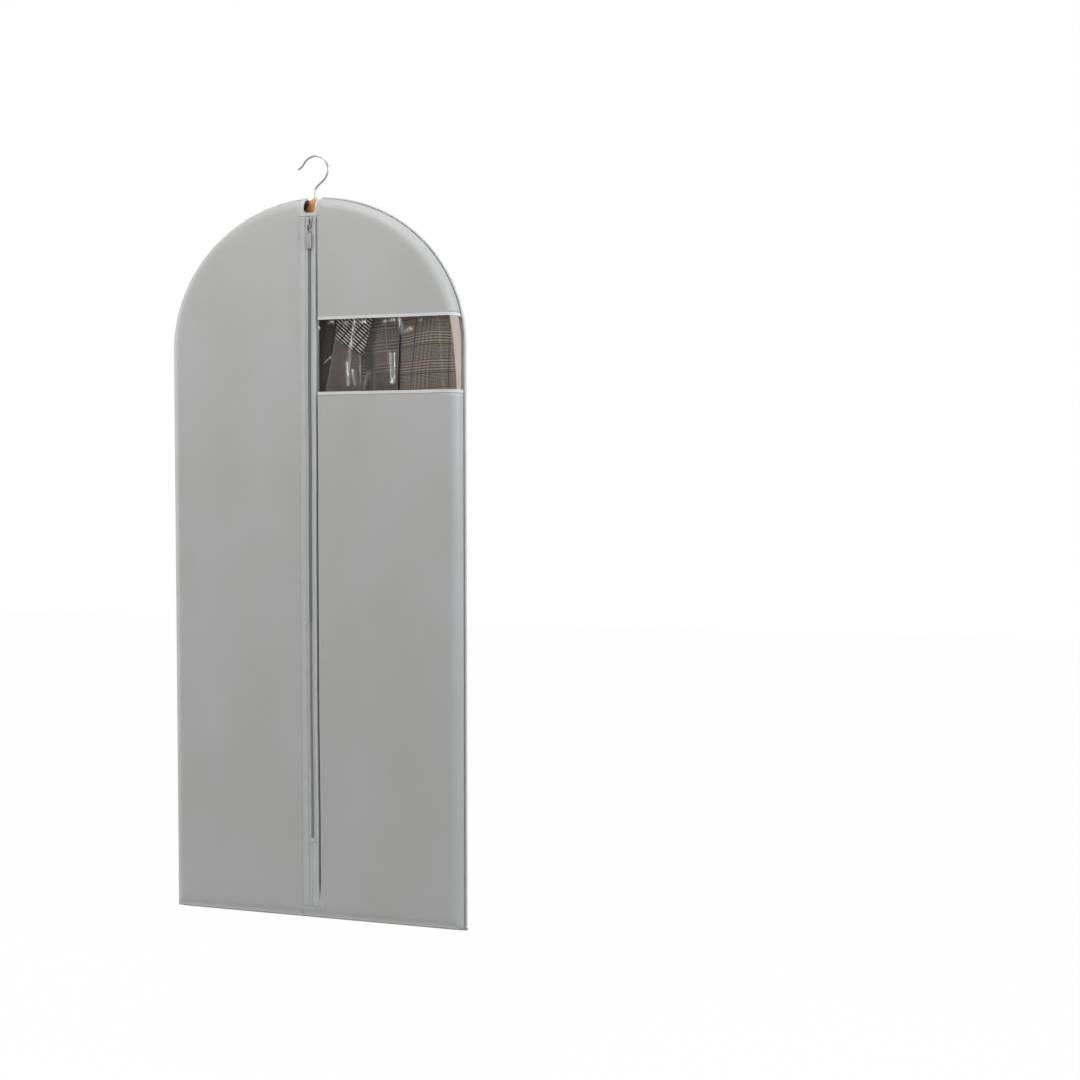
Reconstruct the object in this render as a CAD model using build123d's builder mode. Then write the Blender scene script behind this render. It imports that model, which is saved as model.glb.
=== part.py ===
"""A full-length garment bag hanging on its wooden hanger, with a jacket inside.

The frame is the hanger hook's: the origin is the inside of the hook's crown, where it rests on a rod.
+Z is up, the zipped front faces -Y, and +X is to the right of someone who faces the zip. Millimetres.

The bag is two panels of coated cloth, dished away from a flat seam. Each panel's margin is turned in
along the seam, and the tongue of a cord piping lies between the two margins. A moulded-tooth zip runs
down the front, from just below the hanger opening to a stop above the hem, and the right half of the
front holds a clear window.
"""
import math
import os

from build123d import *

os.makedirs("parts", exist_ok=True)

# ---- Driving dimensions ------------------------------------------------------------------------

# Bag
bag_width = 600.0  # over the piping
bag_height = 1370.0  # crown of the shoulders to the foot of the hem
shoulder_rise = 283.0  # height of the half-elliptical shoulders
front_depth = 27.0  # seam plane to the flat of the front
back_depth = 24.0  # seam plane to the flat of the back
edge_roll = 21.0  # radius that rolls each panel into its seam
panel_wall = 1.3
seam_margin = 7.0  # how far a panel's margin is turned in

# Piping and hem
piping_bead = 5.0  # diameter
tongue_thickness = 2.0
tongue_reach = 8.0  # from the bead's centre into the seam
hem_height = 5.0
hem_round = 2.2

# Hanger opening at the crown
opening_width = 23.0
opening_drop = 34.0  # below the crown
opening_corner = 7.0
facing_drop = 40.0  # foot of the facing round the opening, below the crown
back_notch_depth = 8.0  # how far the opening's mouth is cut into the back panel

# Zip band in the middle of the front
band_left = 21.5  # zip line to the left panel's folded edge
band_right = 17.0  # zip line to the right panel's folded edge
tape_thickness = 0.6
tape_lap = 5.0  # tape sewn behind a panel's edge
zip_stop_height = 156.0  # centre of the bottom stop above the foot
foot_patch_height = 28.0

# Teeth and stops
tooth_spacing = 4.0
tooth_width = 1.8  # along the zip, on the zip line
tooth_flare = 0.2  # growth of that width per mm towards the tooth's head
tooth_head = 1.3  # reach past the zip line
tooth_root = 3.4  # from the zip line back to the tape
tooth_thickness = 2.6
stop_height = 5.0
stop_round = 1.0
top_stop_height = 1.8

# Slider and pull
slider_height = 19.0
slider_mouth_width = 13.4
slider_throat_width = 9.6
slider_waist = 7.6  # height above the foot where the throat begins to widen
slider_plate = 1.2
slider_clearance = 0.3
slider_rail = 0.9  # width of the rails that hold the teeth in
slider_corner = 1.6
diamond_width = 3.4
diamond_height = 6.5
bridge_width = 3.0
bridge_rise = 2.2  # clear height under the bridge
bridge_wall = 1.1
bridge_span = 11.0  # clear length under the bridge
link_wire = 1.4
link_width = 6.0  # between wire centres
link_length = 14.0  # between wire centres
tab_width = 11.0
tab_length = 32.0
tab_thickness = 1.6
tab_barrel = 3.0  # diameter of the eye at the tab's top
tab_recess = 0.35
tab_rim = 1.5
tab_rib = 1.6
tab_corner = 2.0

# Window in the right half
window_top = 231.0  # below the crown
window_bottom = 371.0
window_wall = 0.8
binding_height = 5.0
binding_outset = 0.35  # stands out from the panels

# Hook
hook_wire_diameter = 3.6
hook_loop_radius = 26.2  # to the wire's centre
hook_bend_radius = 14.0
hook_lean = 50.0  # degrees that the wire leans out below the loop
hook_loop_turn = 200.0  # degrees
hook_tip_radius = 22.0
hook_tip_turn = 42.0  # degrees
hook_neck = 9.7  # straight shank above the crown of the bag
hook_tip_round = 1.08

# Hanger
hanger_thickness = 12.0
hanger_side_room = 104.0  # arm's end to the outside of the piping
hanger_crown_gap = 3.0  # wood below the crown of the bag
hanger_crown_radius = 11.0
hanger_crown_turn = 75.0  # degrees of round before the arm begins
hanger_end_radius = 10.5
hanger_end_drop = 107.0  # crown of the bag to the middle of the arm's round end
hanger_arm_slope = 30.0  # degrees, at the arm's end
hanger_edge_round = 3.0
hanger_neck_height = 58.0
arm_root_drop = 37.0  # crown of the bag to the arm's top edge near the neck
arm_middle_drop = 60.0  # to the same edge past the middle of the arm
arm_under_drop = 84.0  # to the arm's underside
arm_root_share = 0.22  # where those heights are taken, as shares of the half span
arm_middle_share = 0.62
arm_under_share = 0.5
collar_radius = 3.7
collar_height = 4.0
collar_seat = 2.5
nut_across_flats = 8.0
nut_height = 5.5
nut_bore_depth = 4.0
collar_round = 1.0

# Garment, with drops measured from the crown of the bag
cloth = 3.0  # thickness of the padded jacket cloth
neck_half = 50.0
neck_drop = 33.0
nape_drop = 44.0
shoulder_bend_x = 125.0  # a point on the shoulder seam
shoulder_bend_drop = 53.0
shoulder_reach = 8.0  # past the hanger's end
shoulder_lift = 4.0  # above the middle of the hanger's end
armhole_inset = 22.0  # in from the hanger's end
armhole_drop = 240.0
waist_inset = 30.0
waist_drop = 450.0
hem_inset = 24.0
jacket_length = 700.0  # shoulder point to hem
front_lap = 6.0  # middle line to the edge of each front
button_drop = 430.0  # the fronts meet here below the lapels
lapel_thickness = 2.4
lapel_seam_drop = 6.0  # below the neck point
sleeve_half_depth = 9.0
knit_half_width = 58.0
knit_length = 420.0

# Lapels and sleeves, as shares of the jacket's own sizes
lapel_roll_shares = ((0.122, 0.853), (0.245, 0.558))  # of the hanger's half span, of the button's drop
lapel_edge_shares = (
    (0.469, 0.244),
    (0.408, 0.288),
    (0.643, 0.349),
    (0.607, 0.558),
    (0.500, 0.698),
    (0.490, 0.860),
)
sleeve_shares = (  # height of the jacket's length; inner and outer edge, of the room beside the armhole
    (0.154, 0.111, 0.330),
    (0.193, 0.063, 0.485),
    (0.330, 0.008, 0.754),
    (0.600, 0.111, 0.841),
    (1.000, 0.143, 0.730),
)

# Clearances
seam_gap = 0.3  # front panels lie this far off the piping's tongue and bead
part_gap = 0.4  # between cut edges that part when the front opens
running_gap = 0.3
garment_gap = 0.3
nut_gap = 0.05  # between the nut's bore and the wire

# ---- Heights and planes worked out from them ---------------------------------------------------

wire_radius = hook_wire_diameter / 2
hanger_half_span = bag_width / 2 - hanger_side_room
lean = math.radians(hook_lean)
loop_z = wire_radius - hook_loop_radius
slant_length = (hook_loop_radius * math.cos(lean) - hook_bend_radius * (1 - math.cos(lean))) / math.sin(lean)
shank_top_z = (
    loop_z
    - hook_loop_radius * math.sin(lean)
    - slant_length * math.cos(lean)
    - hook_bend_radius * math.sin(lean)
)
crown_z = shank_top_z - hook_neck  # crown of the bag's shoulders
spring_z = crown_z - shoulder_rise  # where the shoulders meet the straight sides
foot_z = crown_z - bag_height

bead_radius = piping_bead / 2
panel_inset = piping_bead + seam_gap  # panel's outside, from the outside of the piping
front_seam_y = tongue_thickness / 2 + seam_gap
back_seam_y = tongue_thickness / 2
facing_foot_z = crown_z - facing_drop
zip_stop_z = foot_z + zip_stop_height
patch_top_z = foot_z + foot_patch_height

tape_y = panel_wall - front_depth  # front of the tape, against the back of the panels
chain_y = tape_y + tape_thickness / 2  # middle of the teeth
teeth_front_y = chain_y - tooth_thickness / 2
teeth_back_y = chain_y + tooth_thickness / 2
slider_front_y = teeth_front_y - slider_clearance  # inner face of the slider's front plate
slider_back_y = teeth_back_y + slider_clearance


# ---- Shared shapes -----------------------------------------------------------------------------


def bag_outline(inset):
    """The bag's outline as a flat sketch, inset from the outside of the piping."""
    half = bag_width / 2 - inset
    with BuildSketch() as outline:
        with BuildLine():
            EllipticalCenterArc((0, spring_z), half, shoulder_rise - inset, arc_size=180)
            Polyline((-half, spring_z), (-half, foot_z + inset), (half, foot_z + inset), (half, spring_z))
        make_face()
    return outline.sketch


def pillow(side, inset, seam_y, depth, roll):
    """A flat-topped solid over the bag's outline with a rolled edge; side is 1 to the front, -1 to the back."""
    with BuildPart() as body:
        with BuildSketch(Plane.XZ.offset(side * seam_y)):
            add(bag_outline(inset))
        extrude(amount=side * (depth - seam_y))
        flat = body.faces().sort_by(Axis.Y)[0 if side > 0 else -1]
        fillet(flat.edges(), roll)
    return body.part


def dished_shell(side, seam_y, depth, outset=0.0, wall=panel_wall):
    """A dished panel with its seam margin turned in, thickened outwards by outset."""
    inset = panel_inset - outset
    skin = depth + outset
    inside = pillow(side, inset + wall, seam_y + panel_wall, skin - wall, edge_roll + outset - wall)
    with BuildPart() as shell:
        add(pillow(side, inset, seam_y, skin, edge_roll + outset))
        add(inside, mode=Mode.SUBTRACT)
        with BuildSketch(Plane.XZ):
            add(bag_outline(panel_inset + seam_margin))
        extrude(amount=side * (seam_y + 2 * panel_wall), mode=Mode.SUBTRACT)
    return shell.part


def stretch(shell, x_low, x_high, z_low, z_high):
    """The part of a shell that lies between these x and z values."""
    with BuildPart() as kept:
        add(shell)
        with Locations(((x_low + x_high) / 2, 0, (z_low + z_high) / 2)):
            Box(x_high - x_low, 4 * front_depth, z_high - z_low, mode=Mode.INTERSECT)
    return kept.part


def save(part, name):
    """Label a finished piece and write it."""
    part.label = name
    export_step(part, f"parts/{name}.step")


# ---- Back panel, piping and hem ----------------------------------------------------------------

with BuildPart() as back_panel:
    add(dished_shell(-1, back_seam_y, back_depth))
    # the hanger opening's mouth
    with Locations((0, back_notch_depth / 2, crown_z - opening_corner)):
        Box(opening_width, back_notch_depth, 2 * opening_corner, mode=Mode.SUBTRACT)
save(back_panel.part, "back_panel")

piping_half = bag_width / 2 - bead_radius
for name, side in (("left_piping", -1), ("right_piping", 1)):
    with BuildPart() as piping:
        with BuildLine(Plane.XZ) as run:
            Line((side * piping_half, foot_z + hem_height), (side * piping_half, spring_z))
            EllipticalCenterArc(
                (0, spring_z),
                piping_half,
                shoulder_rise - bead_radius,
                start_angle=90 - 90 * side,
                arc_size=90 * side,
            )
        with BuildSketch(Plane.XY.offset(foot_z + hem_height)):
            with Locations((side * piping_half, 0)):
                Circle(bead_radius)
            with Locations((side * (piping_half - tongue_reach / 2), 0)):
                Rectangle(tongue_reach, tongue_thickness)
        sweep(path=run.wires()[0])
        with Locations((0, 0, crown_z)):
            Box(opening_width, 2 * piping_bead, 8 * piping_bead, mode=Mode.SUBTRACT)
    save(piping.part, name)

hem_tongue_half = piping_half - tongue_reach - running_gap
with BuildPart() as bottom_hem:
    with BuildSketch(Plane.YZ.offset(-bag_width / 2)):
        with Locations((0, foot_z + hem_height / 2)):
            Rectangle(piping_bead, hem_height)
    extrude(amount=bag_width)
    fillet(bottom_hem.faces().sort_by(Axis.Z)[0].edges().filter_by(Axis.X), hem_round)
    with BuildSketch(Plane.YZ.offset(-hem_tongue_half)):
        with Locations((0, foot_z + hem_height)):
            Rectangle(tongue_thickness, 2 * (bead_radius + tongue_reach - hem_height))
    extrude(amount=2 * hem_tongue_half)
save(bottom_hem.part, "bottom_hem")

# ---- Front panels ------------------------------------------------------------------------------

front_shell = dished_shell(1, front_seam_y, front_depth)
side_x = bag_width / 2

with BuildPart() as slot_facing:
    add(stretch(front_shell, part_gap - band_left, band_right - part_gap, facing_foot_z, crown_z))
    with BuildSketch(Plane.XZ):
        with Locations((0, crown_z)):
            RectangleRounded(opening_width, 2 * opening_drop, opening_corner)
    extrude(amount=2 * front_depth, mode=Mode.SUBTRACT)
save(slot_facing.part, "slot_facing")

with BuildPart() as zip_foot_patch:
    add(stretch(front_shell, part_gap - band_left, band_right - part_gap, foot_z, patch_top_z))
save(zip_foot_patch.part, "zip_foot_patch")

with BuildPart() as front_left_panel:
    add(stretch(front_shell, -side_x, -band_left, foot_z, crown_z))
save(front_left_panel.part, "front_left_panel")

window_top_z = crown_z - window_top
window_bottom_z = crown_z - window_bottom
half_binding = binding_height / 2

with BuildPart() as front_right_upper_panel:
    add(stretch(front_shell, band_right, side_x, window_top_z + half_binding, crown_z))
save(front_right_upper_panel.part, "front_right_upper_panel")

with BuildPart() as front_right_lower_panel:
    add(stretch(front_shell, band_right, side_x, foot_z, window_bottom_z - half_binding))
save(front_right_lower_panel.part, "front_right_lower_panel")

pane_outset = (window_wall - panel_wall) / 2
pane_shell = dished_shell(1, front_seam_y, front_depth, outset=pane_outset, wall=window_wall)
with BuildPart() as window_pane:
    add(stretch(pane_shell, band_right, side_x, window_bottom_z + half_binding, window_top_z - half_binding))
save(window_pane.part, "window_pane")

binding_wall = panel_wall + binding_outset
binding_shell = dished_shell(1, front_seam_y, front_depth, outset=binding_outset, wall=binding_wall)
for name, z in (("window_upper_binding", window_top_z), ("window_lower_binding", window_bottom_z)):
    with BuildPart() as binding:
        add(stretch(binding_shell, band_right, side_x, z - half_binding, z + half_binding))
    save(binding.part, name)

# ---- Zip: tapes, teeth and stops ---------------------------------------------------------------

tape_top_z = facing_foot_z - part_gap
tape_foot_z = patch_top_z + part_gap
stop_half_width = tooth_root + tape_thickness
plain_tape_edge = part_gap / 2
slider_top_z = tape_top_z - top_stop_height - 2 * running_gap
slider_foot_z = slider_top_z - slider_height
stop_top_z = zip_stop_z + stop_height / 2
tape_step_z = zip_stop_z - stop_height / 2 - running_gap  # below it the tapes meet
first_tooth_z = slider_top_z - diamond_height - tooth_spacing / 2
tooth_count = int((first_tooth_z - stop_top_z) / tooth_spacing) - 1

for name, side, reach in (("left_zip_tape", -1, band_left), ("right_zip_tape", 1, band_right)):
    outer_x = side * (reach + tape_lap)
    with BuildPart() as tape:
        with BuildSketch(Plane.XZ.offset(-tape_y)):
            with BuildLine():
                Polyline(
                    (outer_x, tape_foot_z),
                    (outer_x, tape_top_z),
                    (side * tooth_root, tape_top_z),
                    (side * tooth_root, tape_step_z),
                    (side * plain_tape_edge, tape_step_z),
                    (side * plain_tape_edge, tape_foot_z),
                    close=True,
                )
            make_face()
        extrude(amount=-tape_thickness)
    save(tape.part, name)


def tooth_outline(side):
    """One tooth of the row on that side, pointing at the zip line and widening towards its head."""
    root_width = tooth_width - tooth_flare * tooth_root
    head_width = tooth_width + tooth_flare * tooth_head
    with BuildSketch() as outline:
        with BuildLine():
            Polyline(
                (side * tooth_root, root_width / 2),
                (-side * tooth_head, head_width / 2),
                (-side * tooth_head, -head_width / 2),
                (side * tooth_root, -root_width / 2),
                close=True,
            )
        make_face()
    return outline.sketch


for name, side in (("left_zip_teeth", -1), ("right_zip_teeth", 1)):
    top_z = first_tooth_z - (side + 1) / 4 * tooth_spacing
    row_middle_z = top_z - (tooth_count - 1) / 2 * tooth_spacing
    with BuildPart() as teeth:
        with BuildSketch(Plane.XZ.offset(-teeth_front_y)):
            with Locations((0, row_middle_z)):
                with GridLocations(tooth_spacing, tooth_spacing, 1, tooth_count):
                    add(tooth_outline(side))
        extrude(amount=-tooth_thickness)
    save(teeth.part, name)

for name, side in (("left_top_stop", -1), ("right_top_stop", 1)):
    with BuildPart() as top_stop:
        with Locations((side * (tooth_root - tooth_head / 2), chain_y, tape_top_z - top_stop_height / 2)):
            Box(tooth_head, tooth_thickness, top_stop_height)
    save(top_stop.part, name)

with BuildPart() as bottom_stop:
    with Locations((0, chain_y, zip_stop_z)):
        Box(2 * stop_half_width, tooth_thickness, stop_height)
    fillet(bottom_stop.edges().filter_by(Axis.Y), stop_round)
    with Locations((-stop_half_width, chain_y, zip_stop_z)):
        Box(2 * tape_thickness, tape_thickness, 2 * stop_height, mode=Mode.SUBTRACT)
    # the right row slips out sideways
    right_slot = tape_thickness + running_gap
    with Locations((stop_half_width, chain_y, zip_stop_z)):
        Box(2 * right_slot, tape_thickness + 2 * running_gap, 2 * stop_height, mode=Mode.SUBTRACT)
save(bottom_stop.part, "bottom_stop")

# ---- Slider and pull ---------------------------------------------------------------------------


def slider_outline(margin=0.0):
    """The slider's shield shape, wide at the mouth above and narrow at the throat below."""
    mouth = slider_mouth_width / 2 - margin
    throat = slider_throat_width / 2 - margin
    waist_z = slider_foot_z + slider_waist
    with BuildSketch() as outline:
        with BuildLine():
            Polyline(
                (-throat, slider_foot_z - margin),
                (-throat, waist_z),
                (-mouth, slider_top_z + margin),
                (mouth, slider_top_z + margin),
                (throat, waist_z),
                (throat, slider_foot_z - margin),
                close=True,
            )
        make_face()
        if not margin:
            corners = outline.vertices().group_by(Axis.Y)
            fillet(corners[0] + corners[-1], slider_corner)
    return outline.sketch


bridge_outer = bridge_span + 2 * bridge_wall
bridge_foot_z = slider_foot_z + (slider_height - bridge_outer) / 2
plate_face_y = slider_front_y - slider_plate
pull_y = plate_face_y - running_gap - link_wire / 2
link_top_z = bridge_foot_z + bridge_wall + running_gap + link_wire / 2
link_foot_z = link_top_z - link_length
rail_depth = (slider_back_y - slider_front_y - tape_thickness) / 2 - slider_clearance

with BuildPart() as slider_body:
    for face_y, out in ((slider_front_y, 1), (slider_back_y, -1)):
        with BuildSketch(Plane.XZ.offset(-face_y)):
            add(slider_outline())
        extrude(amount=out * slider_plate)
        with BuildSketch(Plane.XZ.offset(-face_y)):
            add(slider_outline())
            add(slider_outline(slider_rail), mode=Mode.SUBTRACT)
        extrude(amount=-out * rail_depth)
    # the diamond that parts the two rows
    with BuildSketch(Plane.XZ.offset(-slider_front_y)):
        with BuildLine():
            Polyline(
                (0, slider_top_z - diamond_height),
                (-diamond_width / 2, slider_top_z - slider_plate),
                (-diamond_width / 4, slider_top_z),
                (diamond_width / 4, slider_top_z),
                (diamond_width / 2, slider_top_z - slider_plate),
                close=True,
            )
        make_face()
    extrude(amount=slider_front_y - slider_back_y)
    # the bridge that the pull hangs from
    with BuildSketch(Plane.YZ.offset(-bridge_width / 2)) as strap:
        with Locations((plate_face_y, bridge_foot_z + bridge_outer / 2)):
            RectangleRounded(2 * (bridge_rise + bridge_wall), bridge_outer, bridge_wall)
            RectangleRounded(2 * bridge_rise, bridge_span, bridge_wall / 2, mode=Mode.SUBTRACT)
        with Locations((plate_face_y + bridge_outer / 2, bridge_foot_z + bridge_outer / 2)):
            Rectangle(bridge_outer, 2 * bridge_outer, mode=Mode.SUBTRACT)
    extrude(amount=bridge_width)
save(slider_body.part, "slider_body")

with BuildPart() as pull_link:
    link_side = link_width / 2
    with BuildLine(Plane.XZ.offset(-pull_y)) as half_loop:
        FilletPolyline(
            (0, link_top_z),
            (link_side, link_top_z),
            (link_side, link_foot_z),
            (0, link_foot_z),
            radius=link_wire,
        )
    with BuildSketch(Plane.YZ):
        with Locations((pull_y, link_top_z)):
            Circle(link_wire / 2)
    sweep(path=half_loop.wires()[0])
    mirror(about=Plane.YZ)
save(pull_link.part, "pull_link")

eye_width = link_width - link_wire - 2 * running_gap
tab_plate_top_z = link_foot_z - link_wire / 2 - 2 * running_gap
tab_plate_length = tab_length - tab_barrel
tab_middle_z = tab_plate_top_z - tab_plate_length / 2
with BuildPart() as pull_tab:
    with BuildSketch(Plane.XZ.offset(-pull_y - tab_thickness / 2)):
        with Locations((0, tab_middle_z)):
            RectangleRounded(tab_width, tab_plate_length, tab_corner)
        with Locations((0, link_foot_z - tab_barrel / 2)):
            Rectangle(eye_width, tab_barrel)
    extrude(amount=tab_thickness)
    with BuildSketch(Plane.YZ.offset(-eye_width / 2)):
        with Locations((pull_y, link_foot_z)):
            Circle(tab_barrel / 2)
    extrude(amount=eye_width)
    with BuildSketch(Plane.YZ.offset(-eye_width / 2)):
        with Locations((pull_y, link_foot_z)):
            Circle(link_wire / 2 + running_gap)
    extrude(amount=eye_width, mode=Mode.SUBTRACT)
    # sunk fields each side of a rib, front and back
    for face_y, out in ((pull_y - tab_thickness / 2, 1), (pull_y + tab_thickness / 2, -1)):
        with BuildSketch(Plane.XZ.offset(-face_y)):
            with Locations((0, tab_middle_z)):
                RectangleRounded(tab_width - 2 * tab_rim, tab_plate_length - 2 * tab_rim, tab_corner - tab_rim / 2)
                Rectangle(tab_rib, tab_plate_length, mode=Mode.SUBTRACT)
        extrude(amount=-out * tab_recess, mode=Mode.SUBTRACT)
save(pull_tab.part, "pull_tab")

# ---- Hanger and hook ---------------------------------------------------------------------------

hanger_top_z = crown_z - hanger_crown_gap
crown_centre_z = hanger_top_z - hanger_crown_radius
hanger_foot_z = crown_z - hanger_crown_gap - hanger_neck_height
arm_end_z = crown_z - hanger_end_drop


def hanger_outline():
    """The hanger's outline: a round crown, arms that sag to round ends, and a hollowed underside."""
    turn = math.radians(90 - hanger_crown_turn)
    crown_end = (hanger_crown_radius * math.cos(turn), crown_centre_z + hanger_crown_radius * math.sin(turn))
    arm_end_x = hanger_half_span - hanger_end_radius
    slope = math.radians(hanger_arm_slope)
    end_x = hanger_end_radius * math.sin(slope)
    end_z = hanger_end_radius * math.cos(slope)
    with BuildSketch() as outline:
        with BuildLine():
            CenterArc((0, crown_centre_z), hanger_crown_radius, 90, -hanger_crown_turn)
            Spline(
                crown_end,
                (hanger_half_span * arm_root_share, crown_z - arm_root_drop),
                (hanger_half_span * arm_middle_share, crown_z - arm_middle_drop),
                (arm_end_x + end_x, arm_end_z + end_z),
                tangents=((math.sin(turn), -math.cos(turn)), (end_z, -end_x)),
            )
            CenterArc((arm_end_x, arm_end_z), hanger_end_radius, 90 - hanger_arm_slope, -180)
            Spline(
                (arm_end_x - end_x, arm_end_z - end_z),
                (hanger_half_span * arm_under_share, crown_z - arm_under_drop),
                (0, hanger_foot_z),
                tangents=((-end_z, end_x), (-1, 0)),
            )
            mirror(about=Plane.YZ)
        make_face()
    return outline.sketch


with BuildPart() as hanger:
    with BuildSketch(Plane.XZ.offset(-hanger_thickness / 2)):
        add(hanger_outline())
    extrude(amount=hanger_thickness)
    fillet(hanger.faces().filter_by(Axis.Y).edges(), hanger_edge_round)
    # bore for the hook, and the seat of its collar
    with Locations((0, 0, crown_centre_z)):
        Cylinder(wire_radius + running_gap, 4 * hanger_neck_height, mode=Mode.SUBTRACT)
    with Locations((0, 0, hanger_top_z)):
        Cylinder(collar_radius, 2 * collar_seat, mode=Mode.SUBTRACT)
save(hanger.part, "hanger")

collar_foot_z = hanger_top_z - collar_seat
with BuildPart() as hook_collar:
    with BuildSketch(Plane.XY.offset(collar_foot_z)):
        Circle(collar_radius)
        Circle(wire_radius + running_gap, mode=Mode.SUBTRACT)
    extrude(amount=collar_height)
    fillet(hook_collar.edges().group_by(Axis.Z)[-1].sort_by(SortBy.RADIUS)[-1], collar_round)
save(hook_collar.part, "hook_collar")

nut_top_z = hanger_foot_z - running_gap
shank_foot_z = nut_top_z - nut_bore_depth
loop_end = math.radians(hook_loop_turn - hook_lean)
tip_centre = (
    (hook_loop_radius + hook_tip_radius) * math.cos(loop_end),
    loop_z + (hook_loop_radius + hook_tip_radius) * math.sin(loop_end),
)
slant_start = (
    hook_bend_radius * (1 - math.cos(lean)),
    shank_top_z + hook_bend_radius * math.sin(lean),
)
slant_end = (hook_loop_radius * math.cos(lean), loop_z - hook_loop_radius * math.sin(lean))
with BuildPart() as hook_wire:
    with BuildLine(Plane.XZ) as bent_wire:
        Line((0, shank_foot_z), (0, shank_top_z))
        CenterArc((hook_bend_radius, shank_top_z), hook_bend_radius, 180, -hook_lean)
        Line(slant_start, slant_end)
        CenterArc((0, loop_z), hook_loop_radius, -hook_lean, hook_loop_turn)
        CenterArc(tip_centre, hook_tip_radius, hook_loop_turn - hook_lean + 180, -hook_tip_turn)
    with BuildSketch(Plane.XY.offset(shank_foot_z)):
        Circle(wire_radius)
    sweep(path=bent_wire.wires()[0])
    tip_face = hook_wire.faces().filter_by(GeomType.PLANE).sort_by(Axis.Z)[-1]
    fillet(tip_face.edges(), hook_tip_round)
save(hook_wire.part, "hook_wire")

with BuildPart() as hook_nut:
    with BuildSketch(Plane.XY.offset(nut_top_z)):
        RegularPolygon(nut_across_flats / 2, 6, major_radius=False)
    extrude(amount=-nut_height)
    with BuildSketch(Plane.XY.offset(nut_top_z)):
        Circle(wire_radius + nut_gap)
    extrude(amount=-nut_bore_depth, mode=Mode.SUBTRACT)
save(hook_nut.part, "hook_nut")

# ---- Garment on the hanger ---------------------------------------------------------------------

cloth_seat = hanger_thickness / 2 + garment_gap  # the cloth lies against the wood on both sides
neck_point = (neck_half, crown_z - neck_drop)
shoulder_bend = (shoulder_bend_x, crown_z - shoulder_bend_drop)
shoulder_x = hanger_half_span + shoulder_reach
shoulder_z = arm_end_z + shoulder_lift
armhole_x = hanger_half_span - armhole_inset
armhole_z = crown_z - armhole_drop
waist_point = (hanger_half_span - waist_inset, crown_z - waist_drop)
hem_x = hanger_half_span - hem_inset
hem_z = shoulder_z - jacket_length
button_point = (front_lap, crown_z - button_drop)


def shared(shares):
    """Points of a lapel from shares of the hanger's half span and of the button's drop."""
    return [(hanger_half_span * across, crown_z - button_drop * down) for across, down in shares]


def jacket_side(*inner_edge):
    """Half of a jacket panel, from its inner edge out over the shoulder and down the side."""
    with BuildSketch() as outline:
        with BuildLine():
            Spline(neck_point, shoulder_bend, (shoulder_x, shoulder_z))
            Line((shoulder_x, shoulder_z), (armhole_x, armhole_z))
            Spline((armhole_x, armhole_z), waist_point, (hem_x, hem_z))
            Polyline((hem_x, hem_z), *inner_edge, neck_point)
        make_face()
    return outline.sketch


with BuildPart() as jacket_back:
    with BuildSketch(Plane.XZ.offset(-cloth_seat)):
        add(jacket_side((0, hem_z), (0, crown_z - nape_drop)))
        mirror(about=Plane.YZ)
    extrude(amount=-cloth)
save(jacket_back.part, "jacket_back")

for name, side in (("jacket_right_front", 1), ("jacket_left_front", -1)):
    with BuildPart() as jacket_front:
        with BuildSketch(Plane.XZ.offset(cloth_seat)):
            add(jacket_side((front_lap, hem_z), button_point, *shared(lapel_roll_shares)))
            if side < 0:
                mirror(about=Plane.YZ, mode=Mode.REPLACE)
        extrude(amount=cloth)
    save(jacket_front.part, name)

lapel_seat = cloth_seat + cloth
for name, side in (("jacket_right_lapel", 1), ("jacket_left_lapel", -1)):
    with BuildPart() as lapel:
        with BuildSketch(Plane.XZ.offset(lapel_seat)):
            with BuildLine():
                Polyline(
                    (neck_half, crown_z - neck_drop - lapel_seam_drop),
                    *shared(lapel_edge_shares),
                    button_point,
                    *shared(lapel_roll_shares),
                    close=True,
                )
            make_face()
            if side < 0:
                mirror(about=Plane.YZ, mode=Mode.REPLACE)
        extrude(amount=lapel_thickness)
    save(lapel.part, name)

with BuildPart() as knit_top:
    with BuildSketch(Plane.XZ.offset(cloth_seat - garment_gap - cloth)):
        with Locations((0, nut_top_z - nut_height - garment_gap)):
            Rectangle(2 * knit_half_width, knit_length, align=(Align.CENTER, Align.MAX))
        # it hangs from the undersides of the arms
        with Locations((0, -garment_gap)):
            add(hanger_outline(), mode=Mode.SUBTRACT)
    extrude(amount=cloth)
save(knit_top.part, "knit_top")

sleeve_y = garment_gap - cloth_seat - cloth + sleeve_half_depth / 2
side_room = bag_width / 2 - armhole_x
for name, side in (("jacket_right_sleeve", 1), ("jacket_left_sleeve", -1)):
    with BuildPart() as sleeve:
        for down, inner, outer in sleeve_shares:
            with BuildSketch(Plane.XY.offset(crown_z - jacket_length * down)):
                with Locations((armhole_x + side_room * (inner + outer) / 2, sleeve_y)):
                    Ellipse(side_room * (outer - inner) / 2, sleeve_half_depth)
        loft()
        # the armhole seam, clear of the jacket's sides
        with BuildSketch(Plane.XZ.offset(-2 * front_depth)):
            with BuildLine():
                Polyline(
                    (0, armhole_z),
                    (0, shoulder_z),
                    (shoulder_x + garment_gap, shoulder_z),
                    (armhole_x + garment_gap, armhole_z),
                    close=True,
                )
            make_face()
        extrude(amount=4 * front_depth, mode=Mode.SUBTRACT)
        if side < 0:
            mirror(about=Plane.YZ, mode=Mode.REPLACE)
    save(sleeve.part, name)
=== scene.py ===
import math
from contextlib import contextmanager

import bmesh
import bpy
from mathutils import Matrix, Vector, noise
from mathutils.geometry import delaunay_2d_cdt


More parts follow.
